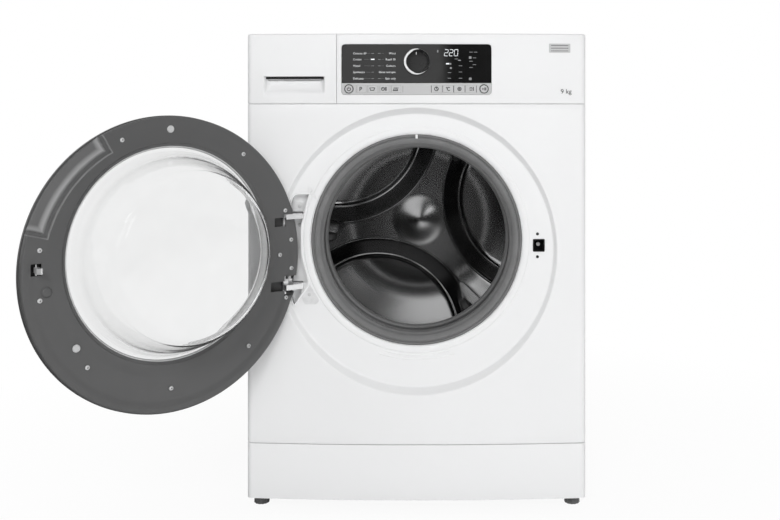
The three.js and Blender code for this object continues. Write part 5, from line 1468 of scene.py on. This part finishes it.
def dress_frame():
    """The solids that stay as they are get finer finishes."""
    for finish, names in (
        (GREEN, "control_board"), (MOULDING, "dispenser_drawer"), (BLACK_RUBBER, "drive_belt"),
        (PLAIN, "dispenser_housing tub_front tub_rear drain_pump base_tray"),
        (CONCRETE, "upper_counterweight front_counterweight"),
        (ZINC, "suspension_spring_left suspension_spring_right bearing_front bearing_rear "
         "motor_pulley"),
        (BLACK, "damper_left damper_right door_lock"),
        (ALLOY, "drum_spider drum_pulley motor")):
        for name in names.split():
            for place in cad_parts[name].material_slots:
                place.material = finish


# ---- Light, floor and camera -----------------------------------------------
def by_ray(nodes, plain, mirrored, white, share=1):
    """Picks what lights other things, what shiny things mirror and what is seen itself."""
    rays = nodes.add("LightPath").outputs
    seen = nodes.math("MAXIMUM", rays["Is Camera Ray"], rays["Is Transmission Ray"])
    lit = nodes.add("MixShader", {0: rays["Is Glossy Ray"], 1: plain, 2: mirrored}).outputs[0]
    mixed = {0: nodes.math("MULTIPLY", seen, share), 1: lit, 2: white}
    return nodes.add("MixShader", mixed).outputs[0]


def make_world():
    world = bpy.data.worlds.new("studio")
    scene.world = world
    world.use_nodes = True
    world.node_tree.nodes.clear()
    nodes = Nodes(world.node_tree)

    def background(strength):
        white = {"Color": (1, 1, 1, 1), "Strength": strength}
        return nodes.add("Background", white).outputs[0]

    # The room behind the viewer is dim in reflections; the sides and back are pale.
    _, y, _ = nodes.add("SeparateXYZ", {0: nodes.add("TexCoord").outputs["Generated"]}).outputs
    shade = nodes.spread(y, 0.035, 0.6, -0.93, -0.1, interpolation_type="SMOOTHSTEP")
    nodes.add("OutputWorld", {"Surface": by_ray(nodes, background(0.39), background(shade),
                                                background(1))})


def make_light(name, place, aim, size, power, mirrored=True, lights=True):
    """An area lamp; mirrored shows it in shiny pieces, lights lets it light matt ones."""
    data = bpy.data.lights.new(name, "AREA")
    data.shape, data.size, data.size_y, data.energy = "RECTANGLE", size[0], size[1], power
    light = bpy.data.objects.new(name, data)
    scene.collection.objects.link(light)
    light.location = place
    light.rotation_euler = (Vector(aim) - Vector(place)).to_track_quat("-Z", "Y").to_euler()
    light.visible_glossy, light.visible_diffuse = mirrored, lights
    light.visible_transmission = False


def make_floor():
    bm = bmesh.new()
    bmesh.ops.create_grid(bm, x_segments=8, y_segments=8, size=8)
    floor = as_object(bm, "floor")
    finish = Finish("floor_white")
    finish.look(Base_Color=(0.9, 0.9, 0.9, 1), Roughness=0.9, Specular_IOR_Level=0)
    x, y, _ = finish.add("SeparateXYZ", {0: finish.place}).outputs
    # The shadow shows near the machine and fades out, so that the floor has no far edge.
    away = finish.add("VectorMath", {0: finish.place}, operation="LENGTH").outputs["Value"]
    share = finish.spread(away, 0.93, 1, 0.4, 1.2)
    # In reflections the floor is bright close in front of the machine, towards the right.
    smooth = {"interpolation_type": "SMOOTHSTEP"}
    across = finish.spread(x, 0.05, 1, -0.28, 0.25, **smooth)
    near = finish.spread(y, 0.03, 1, -2.7, -1.5, **smooth)
    mirrored, white = (finish.add("Emission", {"Strength": strength}).outputs[0]
                       for strength in (finish.math("MULTIPLY", across, near), 1))
    finish.put(by_ray(finish, finish.shader.outputs[0], mirrored, white, share),
               finish.tree.nodes["Material Output"].inputs["Surface"])
    floor.data.materials.append(finish.material)


def make_camera():
    data = bpy.data.cameras.new("front_view")
    data.lens, data.sensor_width, data.sensor_fit = 46.94, 36, "HORIZONTAL"
    data.shift_x, data.shift_y = -0.0536, -0.1795
    data.clip_start, data.clip_end = 0.05, 50
    camera = bpy.data.objects.new("front_view", data)
    scene.collection.objects.link(camera)
    camera.location = (0.027, -2.100, 0.6926)
    camera.rotation_euler = (radians(90), 0, 0)
    scene.camera = camera


make_camera()
make_world()
make_floor()
make_light("key_light", (-0.65, -5.6, 3.2), (-0.5, -0.3, -0.6), (2.6, 2), 142, mirrored=False)
make_light("fill_light", (1, -3.7, 0.5), (-1.3, -0.3, 0.25), (1.8, 1), 33, mirrored=False)
make_light("back_light", (0.9, 3.4, 1.5), (0, 0.3, 0.4), (1.8, 1.4), 45, mirrored=False)
make_light("soft_box", (-0.52, -3, 1.12), (-0.52, 0, 1.12), (1.35, 0.75), 3.2, lights=False)
make_light("glint_card", (-0.62, -2.9, 1.95), (-0.1, 0, 0.5), (0.7, 0.5), 3.4, lights=False)
make_light("side_card", (0.80, -2.9, 1.1), (0, 0, 0.5), (0.3, 0.6), 1.2, lights=False)
make_light("hub_card", (-0.035, -2.7, 0.20), (0, 0, 0.47), (0.12, 0.09), 0.045, lights=False)
make_front()
make_drawer()
make_console()
make_gasket()
make_drum()
make_door()
make_cabinet_sides()
make_back()
make_worktop()
make_feet()
make_inlet()
dress_frame()

scene.view_settings.view_transform = "Standard"
